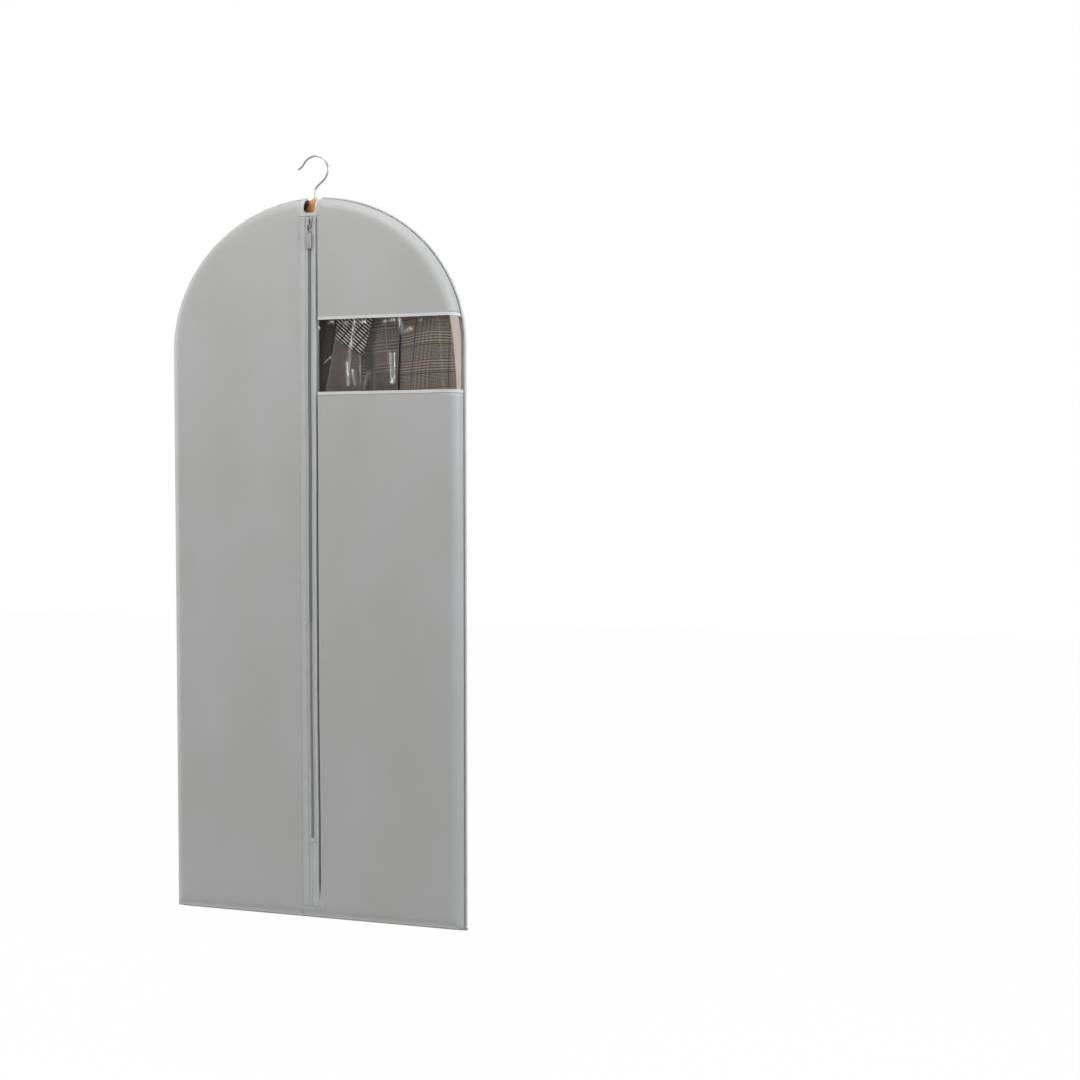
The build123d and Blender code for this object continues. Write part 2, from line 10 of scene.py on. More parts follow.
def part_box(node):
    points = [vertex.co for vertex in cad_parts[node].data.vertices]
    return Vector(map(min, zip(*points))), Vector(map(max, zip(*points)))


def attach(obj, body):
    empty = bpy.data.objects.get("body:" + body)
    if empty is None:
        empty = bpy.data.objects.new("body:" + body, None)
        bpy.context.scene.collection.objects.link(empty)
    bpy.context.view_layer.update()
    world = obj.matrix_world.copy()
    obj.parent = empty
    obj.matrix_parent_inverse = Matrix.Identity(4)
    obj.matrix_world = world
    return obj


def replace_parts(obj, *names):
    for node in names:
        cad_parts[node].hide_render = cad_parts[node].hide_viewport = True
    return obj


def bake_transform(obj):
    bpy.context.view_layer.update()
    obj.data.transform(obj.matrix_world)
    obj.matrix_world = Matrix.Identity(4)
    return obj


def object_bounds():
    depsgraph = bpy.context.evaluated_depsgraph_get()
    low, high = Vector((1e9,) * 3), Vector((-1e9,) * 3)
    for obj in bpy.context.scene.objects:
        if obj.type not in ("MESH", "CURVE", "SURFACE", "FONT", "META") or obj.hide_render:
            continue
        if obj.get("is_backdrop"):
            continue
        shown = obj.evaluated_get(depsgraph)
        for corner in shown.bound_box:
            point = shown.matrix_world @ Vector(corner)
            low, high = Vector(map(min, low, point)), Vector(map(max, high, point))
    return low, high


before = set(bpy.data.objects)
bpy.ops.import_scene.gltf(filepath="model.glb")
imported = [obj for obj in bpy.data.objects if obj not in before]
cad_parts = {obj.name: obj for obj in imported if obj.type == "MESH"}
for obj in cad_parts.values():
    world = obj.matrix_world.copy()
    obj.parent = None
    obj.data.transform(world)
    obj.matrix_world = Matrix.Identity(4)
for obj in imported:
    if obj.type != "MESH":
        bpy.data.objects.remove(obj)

# A full-length garment bag on its hanger, with a jacket inside. Metres. The hook's crown is the
# origin, +Z is up, and the zipped front faces -Y.

cad_low, cad_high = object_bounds()

# ---- Places taken from the frame ----

facing_low, facing_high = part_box("slot_facing")
patch_low, patch_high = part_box("zip_foot_patch")
upper_binding_low, upper_binding_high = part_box("window_upper_binding")
lower_binding_low, lower_binding_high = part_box("window_lower_binding")
left_tape_low, left_tape_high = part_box("left_zip_tape")
right_tape_low, right_tape_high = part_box("right_zip_tape")
stop_low, stop_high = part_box("bottom_stop")
piping_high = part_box("right_piping")[1]

CROWN_Z = piping_high.z
FOOT_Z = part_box("bottom_hem")[0].z
HALF_WIDTH = piping_high.x
SHOULDER_RISE = 0.283
SPRING_Z = CROWN_Z - SHOULDER_RISE
PANEL_INSET = 0.0053  # the panels' seam, in from the outside of the piping
EDGE_ROLL = 0.021
ROLL_STEPS = 7
FRONT_Y = -0.027
FRONT_SEAM_Y = -0.0013
BACK_Y = 0.024
BACK_SEAM_Y = 0.001
BAND_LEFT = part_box("front_left_panel")[1].x
BAND_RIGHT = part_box("window_pane")[0].x
TAPE_Y = left_tape_low.y
TEETH_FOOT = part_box("left_zip_teeth")[0].z
SLIT_TOP = facing_low.z
SLIT_FOOT = stop_high.z
WINDOW_TOP = upper_binding_low.z
WINDOW_FOOT = lower_binding_high.z
UPPER_CLOTH_FOOT = upper_binding_high.z
LOWER_CLOTH_TOP = lower_binding_low.z
CLOTH = 0.0005
FILM = 0.0003
BINDING = 0.0012
FOLD_UNDER = 0.010
FOLD_THICKNESS = 0.0007
BEAD = 0.0025
SIDES = ((-1, "left"), (1, "right"))


# ---- Finishes ----


def add_node(tree, kind, *feeds, **values):
    """A node with its settings; each feed is an output or a plain value, and the input that it goes to."""
    made = tree.nodes.new(kind)
    for key, value in values.items():
        if hasattr(made, key):
            setattr(made, key, value)
        else:
            made.inputs[key.replace("_", " ")].default_value = value
    for given, place in feeds:
        if isinstance(given, bpy.types.NodeSocket):
            tree.links.new(given, made.inputs[place])
        else:
            made.inputs[place].default_value = given
    return made


class Finish:
    """A material under construction: short calls that take and give the outputs of its nodes."""

    def __init__(self, name):
        self.material = bpy.data.materials.new(name)
        self.material.use_nodes = True
        self.tree = self.material.node_tree
        self.tree.nodes.clear()
        self.skin = self.node("BsdfPrincipled")
        self.out = self.node("OutputMaterial", (self.skin.outputs[0], "Surface"))
        self.space = self.node("TexCoord").outputs

    def node(self, kind, *feeds, **settings):
        return add_node(self.tree, "ShaderNode" + kind, *feeds, **settings)

    def placed(self, scale=(1, 1, 1), turn=(0, 0, 0), source="Object"):
        """Coordinates stretched and turned for a pattern."""
        return self.node("Mapping", (self.space[source], "Vector"), Scale=scale, Rotation=turn).outputs[0]

    def stored(self, name):
        """A value that a mesh stores for each of its points."""
        return self.node("Attribute", attribute_name=name).outputs["Fac"]

    def cloud(self, scale, detail=3.0, stretch=(1, 1, 1), rough=0.5, bend=0.0):
        """Cloudy noise; its pattern is bent on itself by bend."""
        settings = {"Scale": scale, "Detail": detail, "Roughness": rough, "Distortion": bend}
        return self.node("TexNoise", (self.placed(stretch), "Vector"), **settings).outputs[0]

    def waves(self, direction, scale, place):
        """Rows of soft bands."""
        settings = {"wave_type": "BANDS", "bands_direction": direction, "Scale": scale}
        return self.node("TexWave", (place, "Vector"), **settings).outputs["Fac"]

    def ramp(self, source, stops):
        made = self.node("ValToRGB", (source, "Fac"))
        band = made.color_ramp
        while len(band.elements) < len(stops):
            band.elements.new(0.5)
        for element, (place, colour) in zip(band.elements, stops):
            element.position = place
            element.color = (*colour, 1)
        return made.outputs["Color"]

    def tones(self, pattern, low, high, stops=(0.3, 0.7)):
        """A ramp over a pattern between two tones, each a colour or the level of a grey."""
        pair = [tone if isinstance(tone, tuple) else (tone,) * 3 for tone in (low, high)]
        return self.ramp(pattern, list(zip(stops, pair)))

    def mix(self, a, b, amount=1.0, way="MULTIPLY"):
        """One colour of two, by default the first darkened by the second."""
        a, b = ((*given, 1) if isinstance(given, tuple) else given for given in (a, b))
        return self.node("Mix", (amount, 0), (a, 6), (b, 7), data_type="RGBA", blend_type=way).outputs[2]

    def fade(self, source, low, high, at_low, at_high):
        """A value that goes from at_low to at_high as the source goes from low to high."""
        settings = {"From_Min": low, "From_Max": high, "To_Min": at_low, "To_Max": at_high}
        return self.node("MapRange", (source, "Value"), **settings).outputs[0]

    def sum(self, a, b, way="ADD"):
        return self.node("Math", (a, 0), (b, 1), operation=way).outputs[0]

    def feed(self, **sources):
        """Lead outputs to inputs of the skin."""
        for key, source in sources.items():
            self.tree.links.new(source, self.skin.inputs[key.replace("_", " ")])

    def bump(self, height, strength, distance):
        relief = self.node("Bump", (height, "Height"), Strength=strength, Distance=distance)
        self.feed(Normal=relief.outputs[0])

    def done(self, **values):
        """The material, with plain values for inputs of the skin."""
        for key, value in values.items():
            self.skin.inputs[key.replace("_", " ")].default_value = value
        return self.material


def grey(value, warm=0.0):
    """A linear grey from an sRGB level of 0 to 255, a touch warmer where warm is positive."""
    level = ((value / 255 + 0.055) / 1.055) ** 2.4
    return (level * (1 + warm), level, level * (1 - warm))


def bag_cloth_finish(name, level, pebble=1.0, warm=0.0, painted_glow=0.0):
    """Smooth coated cloth with a faint mottle and a fine grain, with a painted glow for light coming through
    it where one is given.
    """
    f = Finish(name)
    dark, light = grey(level - 3, warm + 0.010), grey(level + 3, warm - 0.010)
    mottle = f.tones(f.cloud(7.0, 4.0, (1, 1, 0.55)), dark, light)
    specks = f.tones(f.cloud(900.0, 2.0), 0.94, 1.0, (0.35, 0.65))
    f.feed(Base_Color=f.mix(mottle, specks), Roughness=f.tones(f.cloud(40.0, 3.0), 0.40, 0.50))
    soft = f.sum(f.cloud(26.0, 3.0, (1, 1, 0.35)), 9.0, "MULTIPLY")
    f.bump(f.sum(f.cloud(1400.0, 2.0), soft), 0.35 * pebble, 0.00022)
    # painted glow: emission stands in for light coming through the cloth, none near the crown and weaker low
    # down
    if painted_glow:
        height = f.node("SeparateXYZ", (f.space["Object"], "Vector")).outputs["Z"]
        near_crown = f.fade(height, CROWN_Z - 0.20, CROWN_Z - 0.10, painted_glow, 0.0)
        below_window = f.fade(height, WINDOW_FOOT - 0.30, WINDOW_FOOT - 0.05, 0.25, 1.0)
        f.feed(Emission_Strength=f.sum(near_crown, below_window, "MULTIPLY"))
        f.done(Emission_Color=(0.95, 0.90, 0.80, 1))
        f.material.cycles.emission_sampling = "NONE"
    return f.done(Sheen_Weight=0.12, Sheen_Roughness=0.4, Specular_IOR_Level=0.35)


def woven_finish(name, level, pitch=0.0011, warm=0.0):
    """A small herringbone weave for binding and zip tape, darkened where a mesh stores painted shade and dark
    lines.
    """
    f = Finish(name)
    slant = f.waves("DIAGONAL", 1.0, f.placed((1 / pitch / 6,) * 3))
    weave = f.tones(slant, grey(level - 14, warm), grey(level + 6, warm), (0.2, 0.8))
    worn = f.mix(weave, f.tones(f.cloud(60.0, 3.0), 0.92, 1.0))
    # painted shade: the stored mark darkens the zip tape's gutters, where shadow falls, and a few dark lines
    # of its weave
    f.feed(Base_Color=f.mix(worn, grey(level - 92, warm), f.stored("painted_shade_and_dark_lines"), "MIX"))
    f.bump(slant, 0.5, 0.00015)
    return f.done(Roughness=0.62, Sheen_Weight=0.2, Sheen_Roughness=0.5)


def film_finish():
    """Clear film, faintly milky, with painted white highlights along its creases."""
    f = Finish("clear window film")
    crease = f.stored("crease")
    haze = f.tones(f.cloud(30.0, 4.0, (1, 1, 0.5)), 0.015, 0.045, (0.35, 0.75))
    from_ridge = f.sum(f.sum(f.cloud(60.0, 2.0, (2.2, 1, 0.5)), 0.5, "SUBTRACT"), 0.0, "ABSOLUTE")
    ridge = f.tones(from_ridge, 0.9, 0.10, (0.0, 0.035))
    # painted highlights: the film turns white and opaque along its creases
    white = f.mix((0.26, 0.22, 0.20), (0.95, 0.96, 0.97), crease, "MIX")
    f.feed(Alpha=f.sum(f.sum(crease, ridge, "MULTIPLY"), haze), Base_Color=white)
    f.bump(f.cloud(46.0, 3.0, (1.6, 1, 0.7), 0.4), 0.55, 0.002)
    return f.done(Roughness=0.12, IOR=1.45, Specular_IOR_Level=0.5)


def metal_finish(name, level, rough):
    """Plated wire or die-cast metal with a faint drawn grain and rubbed patches."""
    f = Finish(name)
    tone = f.tones(f.cloud(160.0, 3.0, (1, 1, 0.3)), grey(level - 16), grey(level))
    f.feed(Base_Color=tone, Roughness=f.tones(f.cloud(420.0, 4.0), rough * 0.7, rough * 1.4, (0.3, 0.75)))
    f.bump(f.cloud(700.0, 2.0, (1, 1, 0.2)), 0.12, 0.0001)
    return f.done(Metallic=1.0)


def teeth_finish():
    """Moulded grey teeth with painted shade on their interlocking heads, paler at their roots in the tape."""
    f = Finish("moulded teeth")
    tone = f.tones(f.cloud(300.0, 2.0), grey(106), grey(124))
    f.feed(Base_Color=f.mix(tone, grey(174), f.stored("clear_of_painted_shade"), "MIX"))
    f.bump(f.cloud(900.0, 2.0), 0.15, 0.0001)
    return f.done(Roughness=0.34)


def wood_finish():
    """Orange-brown varnished wood with its grain along the arms."""
    f = Finish("varnished hanger wood")
    grain = f.cloud(3.2, 6.0, (5.0, 60.0, 60.0), bend=1.2)
    browns = [(0.28, (0.40, 0.15, 0.045)), (0.5, (0.64, 0.27, 0.085)), (0.74, (0.78, 0.38, 0.14))]
    f.feed(Base_Color=f.ramp(grain, browns))
    f.bump(grain, 0.2, 0.0003)
    return f.done(Roughness=0.38, Coat_Weight=0.35, Coat_Roughness=0.15)


def wool(f, colour, rough=0.85, sheen=0.3):
    """The material of a finish, with a colour and the nap of wool."""
    f.feed(Base_Color=colour)
    f.bump(f.cloud(1100.0, 2.0), 0.4, 0.0003)
    return f.done(Roughness=rough, Sheen_Weight=sheen, Sheen_Roughness=0.6)


def fuzz(f):
    return f.tones(f.cloud(700.0, 3.0), 0.72, 1.1)


def stripes(f, place, axis, pitch, share=0.5):
    """A square wave across one axis of a placed pattern, one stripe in each pitch."""
    split = f.node("SeparateXYZ", (place, "Vector")).outputs[axis]
    part = f.sum(f.sum(split, 1 / pitch, "MULTIPLY"), 0.0, "FRACT")
    return f.sum(part, share, "LESS_THAN")


def check_finish(name, dark, light, turn=0.0, source="Object", fine=0.0048, block=0.042, over=None, warp=0.5):
    """Wool in a glen check: blocks of broad and fine lines crossing in a twill, with painted shadow where a
    mesh stores it.
    """
    f = Finish(name)
    place = f.placed((1, 1, 1), (0, turn, 0), source)
    axes = ("X", "Z") if source == "Object" else ("X", "Y")
    threads = []
    for axis in axes:
        broad = stripes(f, place, axis, fine, 0.5)
        narrow = stripes(f, place, axis, fine / 2, 0.4)
        band = stripes(f, place, axis, block, 0.48)
        threads.append(f.node("Mix", (band, 0), (narrow, 2), (broad, 3), data_type="FLOAT").outputs[0])
    half = f.sum(f.sum(threads[0], warp, "MULTIPLY"), f.sum(threads[1], 1 - warp, "MULTIPLY"))
    middle = tuple((a + b) / 2 * 0.85 for a, b in zip(dark, light))
    tone = f.ramp(half, [(0.0, dark), (0.5, middle), (1.0, light)])
    if over:
        pane_lines = f.sum(*(stripes(f, place, axis, block, 0.03) for axis in axes), "MAXIMUM")
        tone = f.mix(tone, over, pane_lines, "MIX")
    # painted shadow: near-black where the mesh stores the shade beside a lapel's lifted edge
    painted_lapel_shadow = f.sum(f.stored("painted_lapel_shadow"), 0.88, "MULTIPLY")
    return wool(f, f.mix(f.mix(tone, fuzz(f)), (0.004, 0.003, 0.003), painted_lapel_shadow, "MIX"))


def dash_finish(name, dark, light, turn, pitch, length):
    """Dark wool with short pale dashes along a slant."""
    f = Finish(name)
    place = f.placed((1, 1, 1), (0, turn, 0))
    dashes = f.sum(stripes(f, place, "Z", pitch, 0.27), stripes(f, place, "X", length, 0.82), "MULTIPLY")
    return wool(f, f.mix(f.tones(dashes, dark, light, (0.0, 1.0)), fuzz(f)), sheen=0.2)


def plain_wool_finish(name, colour, rough=0.85):
    """Plain wool cloth with a soft fleck."""
    f = Finish(name)
    fleck = f.tones(f.cloud(520.0, 4.0), tuple(c * 0.75 for c in colour), tuple(c * 1.3 for c in colour))
    return wool(f, f.mix(fleck, f.tones(f.cloud(24.0, 3.0, (1, 1, 0.4)), 0.8, 1.1)), rough)


def knit_finish():
    """Near-black knit with fine ribs."""
    f = Finish("dark knit")
    ribs = f.waves("X", 80.0, f.placed())
    f.feed(Base_Color=f.tones(ribs, grey(6), grey(16), (0.2, 0.8)))
    f.bump(ribs, 0.6, 0.0006)
    return f.done(Roughness=0.9, Sheen_Weight=0.25, Sheen_Roughness=0.6)


def thread_finish():
    """Twisted sewing thread."""
    f = Finish("sewing thread")
    f.feed(Base_Color=f.tones(f.cloud(1500.0, 2.0), grey(172), grey(206)))
    f.bump(f.cloud(2500.0, 1.0), 0.4, 0.0001)
    return f.done(Roughness=0.6, Sheen_Weight=0.3)


bag_cloth = bag_cloth_finish("grey coated cloth", 167, warm=0.016)
back_cloth_finish = bag_cloth_finish("grey coated cloth for the back", 164, warm=0.016)
pale_facing = bag_cloth_finish("pale facing", 178, 0.8, 0.012)
# the cream inside carries a painted glow for the light that comes through the cloth
cream_inside = bag_cloth_finish("cream uncoated inside", 214, 0.6, 0.035, 0.34)
trim_cloth = woven_finish("grey binding", 160)
piping_cloth = woven_finish("grey piping cloth", 196)
pale_trim = woven_finish("pale window binding", 202)
tape_cloth = woven_finish("zip tape weave", 178, 0.0009, -0.006)
window_film = film_finish()
slider_metal = metal_finish("nickel slider", 136, 0.40)
hook_metal = metal_finish("chromed hook wire", 150, 0.20)
teeth_plastic = teeth_finish()
stop_metal = metal_finish("pale zip stops", 186, 0.42)
hanger_wood = wood_finish()
jacket_front_wool = check_finish(
    "mauve glen check", (0.014, 0.009, 0.009), (0.150, 0.110, 0.106), 0.06,
    fine=0.0060, over=(0.17, 0.145, 0.12), warp=0.3,
)
jacket_sleeve_wool = check_finish(
    "brown glen check", (0.009, 0.006, 0.004), (0.270, 0.205, 0.145), 0.0, "UV",
    fine=0.0052, block=0.052, over=(0.006, 0.005, 0.004), warp=0.3,
)
jacket_back_wool = check_finish("brown glen check back", (0.020, 0.016, 0.012), (0.22, 0.19, 0.145))
lapel_wool = dash_finish(
    "dashed lapel wool", (0.010, 0.008, 0.009), (0.60, 0.56, 0.52), turn=-0.72, pitch=0.0054, length=0.016
)
facing_wool = plain_wool_finish("plain brown wool", (0.066, 0.048, 0.043))
pocket_wool = plain_wool_finish("plain pocket wool", (0.036, 0.027, 0.026))
dark_lining = plain_wool_finish("dark lining", (0.014, 0.012, 0.012), 0.45)
knit_wool = knit_finish()
thread = thread_finish()


# ---- Cloth helpers ----


def in_scene(name, data):
    """A new object for some data, in the scene."""
    made = bpy.data.objects.new(name, data)
    bpy.context.scene.collection.objects.link(made)
    return made


def new_piece(mesh, finish):
    """An object at the origin for a finished mesh, under the mesh's name."""
    piece = in_scene(mesh.name, mesh)
    mesh.materials.clear()
    mesh.materials.append(finish)
    return piece


def mesh_from(name, points, faces, smooth=True):
    mesh = bpy.data.meshes.new(name)
    mesh.from_pydata(points, [], faces)
    mesh.validate()
    mesh.polygons.foreach_set("use_smooth", [smooth] * len(mesh.polygons))
    mesh.update()
    return mesh


@contextmanager
def opened(mesh, into=None):
    """A mesh opened for editing, and written back, or into another mesh, when the block ends."""
    shell = bmesh.new()
    shell.from_mesh(mesh)
    yield shell
    shell.to_mesh(into or mesh)
    shell.free()


def face_one_way(mesh, share=None):
    """Face a mesh's polygons outward, or to the side where their sum of share(face) is positive."""
    with opened(mesh) as shell:
        bmesh.ops.recalc_face_normals(shell, faces=shell.faces)
        if share and sum(share(f) * f.calc_area() for f in shell.faces) < 0:
            bmesh.ops.reverse_faces(shell, faces=shell.faces)


def slice_at(shell, place, normal, near, **cleared):
    """Cut the whole of a shell along a plane."""
    whole = shell.verts[:] + shell.edges[:] + shell.faces[:]
    bmesh.ops.bisect_plane(shell, geom=whole, dist=near, plane_co=place, plane_no=normal, **cleared)


def quads_between(rows, count, closed=True):
    """Quads between rows of points, each row of the same count, and closed to rings or not."""
    faces = []
    for r in range(rows - 1):
        for k in range(count if closed else count - 1):
            a, b = r * count + k, r * count + (k + 1) % count
            faces.append((a, b, b + count, a + count))
    return faces


def mark_points(mesh, name, values):
    """Store a value for each point, which the finishes read."""
    mark = mesh.attributes.new(name, "FLOAT", "POINT")
    mark.data.foreach_set("value", values)


def ease(t):
    """0 below 0, 1 above 1 and a smooth rise between."""
    t = min(max(t, 0.0), 1.0)
    return t * t * (3 - 2 * t)


def bell(value, middle, width):
    """1 at the middle, falling away smoothly on both sides."""
    return math.exp(-(((value - middle) / width) ** 2))


def waver(a, b, c):
    """Smooth noise of about -1 to 1, the same at every run."""
    return noise.noise(Vector((a, b, c)))


def bag_ring(inset, step=0.009):
    """Points round the bag's outline at an inset, as many at every inset so that rings can be joined."""
    half = HALF_WIDTH - inset
    rise = SHOULDER_RISE - inset
    foot = FOOT_Z + inset
    ring = []
    sides = round((SPRING_Z - FOOT_Z) / step)
    for i in range(sides):
        ring.append((-half, foot + (SPRING_Z - foot) * i / sides))
    arc = round(math.pi * (HALF_WIDTH + SHOULDER_RISE) / 2 / step)
    for i in range(arc + 1):
        turn = math.pi - math.pi * i / arc
        ring.append((half * math.cos(turn), SPRING_Z + rise * math.sin(turn)))
    for i in range(1, sides + 1):
        ring.append((half, SPRING_Z + (foot - SPRING_Z) * i / sides))
    wide = round(2 * HALF_WIDTH / step)
    for i in range(1, wide):
        ring.append((half - 2 * half * i / wide, foot))
    return ring


ROW_SPACING = 0.866  # of a grid of equal triangles
CLEAR_OF_BORDER = 0.6  # how near the border a point of the grid may lie, in steps


def inside_fill(ring, step=0.009):
    """Points and triangles that fill a closed ring evenly."""
    border = [Vector(p) for p in ring]
    low_x, low_z = min(p.x for p in border), min(p.y for p in border)
    high_x, high_z = max(p.x for p in border), max(p.y for p in border)
    cells = {}
    for p in border:
        cells.setdefault((int(p.x // step), int(p.y // step)), []).append(p)
    inner = []
    row = 0
    z = low_z + step
    while z < high_z:
        x = low_x + step * (0.5 if row % 2 else 1.0)
        while x < high_x:
            p = Vector((x, z))
            cx, cz = int(x // step), int(z // step)
            near = [q for i in (-1, 0, 1) for j in (-1, 0, 1) for q in cells.get((cx + i, cz + j), ())]
            if all((p - q).length > step * CLEAR_OF_BORDER for q in near):
                inner.append(p)
            x += step
        z += step * ROW_SPACING
        row += 1
    edges = [(i, (i + 1) % len(border)) for i in range(len(border))]
    points, _, faces, *_ = delaunay_2d_cdt(border + inner, edges, [], 1, 1e-6)
    return [tuple(p) for p in points], faces


def dished_cloth(name, seam_y, skin_y):
    """One whole dished panel: the turned seam margin, the rolled edge and the flat, as one skin."""
    side = -1 if skin_y < 0 else 1
    wall_end = skin_y - side * EDGE_ROLL
    profile = [(0.006, seam_y + side * 0.0005), (0.0006, seam_y + side * 0.0002)]
    profile += [(0.0, seam_y), (0.0, seam_y + side * 0.0005), (0.0, wall_end)]
    for i in range(1, ROLL_STEPS + 1):
        turn = math.pi / 2 * i / ROLL_STEPS
        profile.append((EDGE_ROLL * (1 - math.cos(turn)), wall_end + side * EDGE_ROLL * math.sin(turn)))
    points = []
    for inset, y in profile:
        ring = bag_ring(PANEL_INSET + inset)
        points += [(x, y, z) for x, z in ring]
    count = len(ring)
    flat_points, flat_faces = inside_fill([(x, z) for x, _, z in points[-count:]])
    base = len(points) - count
    points += [(x, skin_y, z) for x, z in flat_points[count:]]
    faces = quads_between(len(profile), count) + [tuple(base + i for i in face) for face in flat_faces]
    mesh = mesh_from(name, points, faces)
    face_one_way(mesh, lambda f: f.normal.y * side)
    return mesh


def cut_piece(mesh, name, x_low=None, x_high=None, z_low=None, z_high=None):
    """A copy of a skin, trimmed to a stretch of x and z, with straight cut edges."""
    trimmed = bpy.data.meshes.new(name)
    with opened(mesh, into=trimmed) as shell:
        for place, axis, above in (
            (x_low, (1, 0, 0), True),
            (x_high, (1, 0, 0), False),
            (z_low, (0, 0, 1), True),
            (z_high, (0, 0, 1), False),
        ):
            if place is not None:
                plane = tuple(place * a for a in axis)
                slice_at(shell, plane, axis, 1e-6, clear_inner=above, clear_outer=not above)
    return trimmed


def on_flat(p):
    """True where a point of the cut front still lies on its flat, clear of the rolled edge."""
    return abs(p.y - FRONT_Y) < 1e-4


def middle_of(part):
    """Where the middle of a vertex, an edge or a face lies, to a tenth of a micrometre."""
    corners = [part] if isinstance(part, bmesh.types.BMVert) else part.verts
    middle = sum((v.co for v in corners), Vector()) / len(corners)
    return tuple(round(place, 7) for place in middle)


def turn_under(mesh, edge_x, outward):
    """Turn a cut upright edge under: it rolls over and runs back beneath the skin."""
    lip = 0.00012
    profile = [(0.00030, lip), (0.00042, FOLD_THICKNESS / 2), (0.00030, FOLD_THICKNESS - lip)]
    profile += [(0.0, FOLD_THICKNESS), (-FOLD_UNDER, FOLD_THICKNESS)]
    with opened(mesh) as shell:
        rim = [
            e for e in shell.edges
            if e.is_boundary and all(abs(v.co.x - edge_x) < 1e-5 and on_flat(v.co) for v in e.verts)
        ]
        last_out = last_back = 0.0
        for out, back in profile:
            made = bmesh.ops.extrude_edge_only(shell, edges=rim)["geom"]
            for v in (g for g in made if isinstance(g, bmesh.types.BMVert)):
                v.co += Vector((outward * (out - last_out), back - last_back, 0))
            rim = [g for g in made if isinstance(g, bmesh.types.BMEdge)]
            last_out, last_back = out, back
        # an extrusion leaves its parts in no set order, so they get one that every run repeats
        for parts in (shell.verts, shell.edges, shell.faces):
            for rank, part in enumerate(sorted(parts, key=middle_of)):
                part.index = rank
            parts.sort()


def inset_at(x, z):
    """Roughly how far a point lies in from the outside of the piping."""
    side = HALF_WIDTH - abs(x)
    foot = z - FOOT_Z
    if z <= SPRING_Z:
        return min(side, foot)
    reach = math.hypot(x / HALF_WIDTH, (z - SPRING_Z) / SHOULDER_RISE)
    return (1 - reach) * SHOULDER_RISE


def billow(x, z):
    """How far the front cloth stands out from its flat plane."""
    hold = ease((inset_at(x, z) - 0.012) / 0.06)
    broad = waver(x * 5.5, 3.1, z * 1.7)
    folds = waver(x * 16.0 + z * 3.0, 8.4, z * 3.6)
    parked = max(bell(z, place, 0.05) for place in (SLIT_TOP - 0.03, SLIT_FOOT + 0.02))
    near_zip = 1 - (0.75 + 0.25 * parked) * bell(x, 0, 0.035)
    sag = 0.0012 * ease((CROWN_Z - z) / 1.2) * near_zip
    return hold * (0.0012 * broad * near_zip + 0.0005 * folds * near_zip + sag)


def drift(z):
    """How far the zip wanders sideways between the two ends of its slider's run."""
    ends = ease((SLIT_TOP - 0.06 - z) / 0.25) * ease((z - SLIT_FOOT - 0.02) / 0.20)
    return ends * (0.0008 * waver(0.0, 5.5, z * 7.0) - 0.0012)


def settle(mesh):
    """Move a front piece's points to where the hung cloth carries them."""
    for v in mesh.vertices:
        x, y, z = v.co
        v.co.y = y - billow(x, z)
        v.co.x = x + drift(z) * bell(x, 0, 0.05)


def hang_between(piece):
    """Bake a front piece's placement into its mesh."""
    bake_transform(piece)


def front_piece(mesh, finish):
    """A settled piece of one of the two leaves."""
    settle(mesh)
    piece = new_piece(mesh, finish)
    hang_between(piece)
    return piece


def thicken(piece, wall, inside=None):
    """Give a skin its thickness, with another finish on its inner face where it has one."""
    solid = piece.modifiers.new("wall", "SOLIDIFY")
    solid.thickness = wall
    solid.offset = -1.0
    solid.use_even_offset = False
    if inside:
        piece.data.materials.append(inside)
        solid.material_offset = 1


def evaluated(source, name):
    """What a piece's modifiers make of it, as a plain mesh."""
    depsgraph = bpy.context.evaluated_depsgraph_get()
    made = bpy.data.meshes.new_from_object(source.evaluated_get(depsgraph), depsgraph=depsgraph)
    made.name = name
    return made


def crisp(piece):
    """Make a thickened strip plain, so that its cut rims shade as corners."""
    made = evaluated(piece, piece.name)
    made.set_sharp_from_angle(angle=math.radians(50))
    piece.modifiers.clear()
    piece.data = made


# ---- Front cloth ----

front_skin = dished_cloth("front skin", FRONT_SEAM_Y, FRONT_Y)
left_cloth = cut_piece(front_skin, "front_left_cloth", x_high=BAND_LEFT)
turn_under(left_cloth, BAND_LEFT, 1)
upper_cloth = cut_piece(front_skin, "front_right_upper_cloth", x_low=BAND_RIGHT, z_low=UPPER_CLOTH_FOOT)
turn_under(upper_cloth, BAND_RIGHT, -1)
lower_cloth = cut_piece(front_skin, "front_right_lower_cloth", x_low=BAND_RIGHT, z_high=LOWER_CLOTH_TOP)
turn_under(lower_cloth, BAND_RIGHT, -1)
pane_cloth = cut_piece(front_skin, "window_film", x_low=BAND_RIGHT, z_low=WINDOW_FOOT, z_high=WINDOW_TOP)

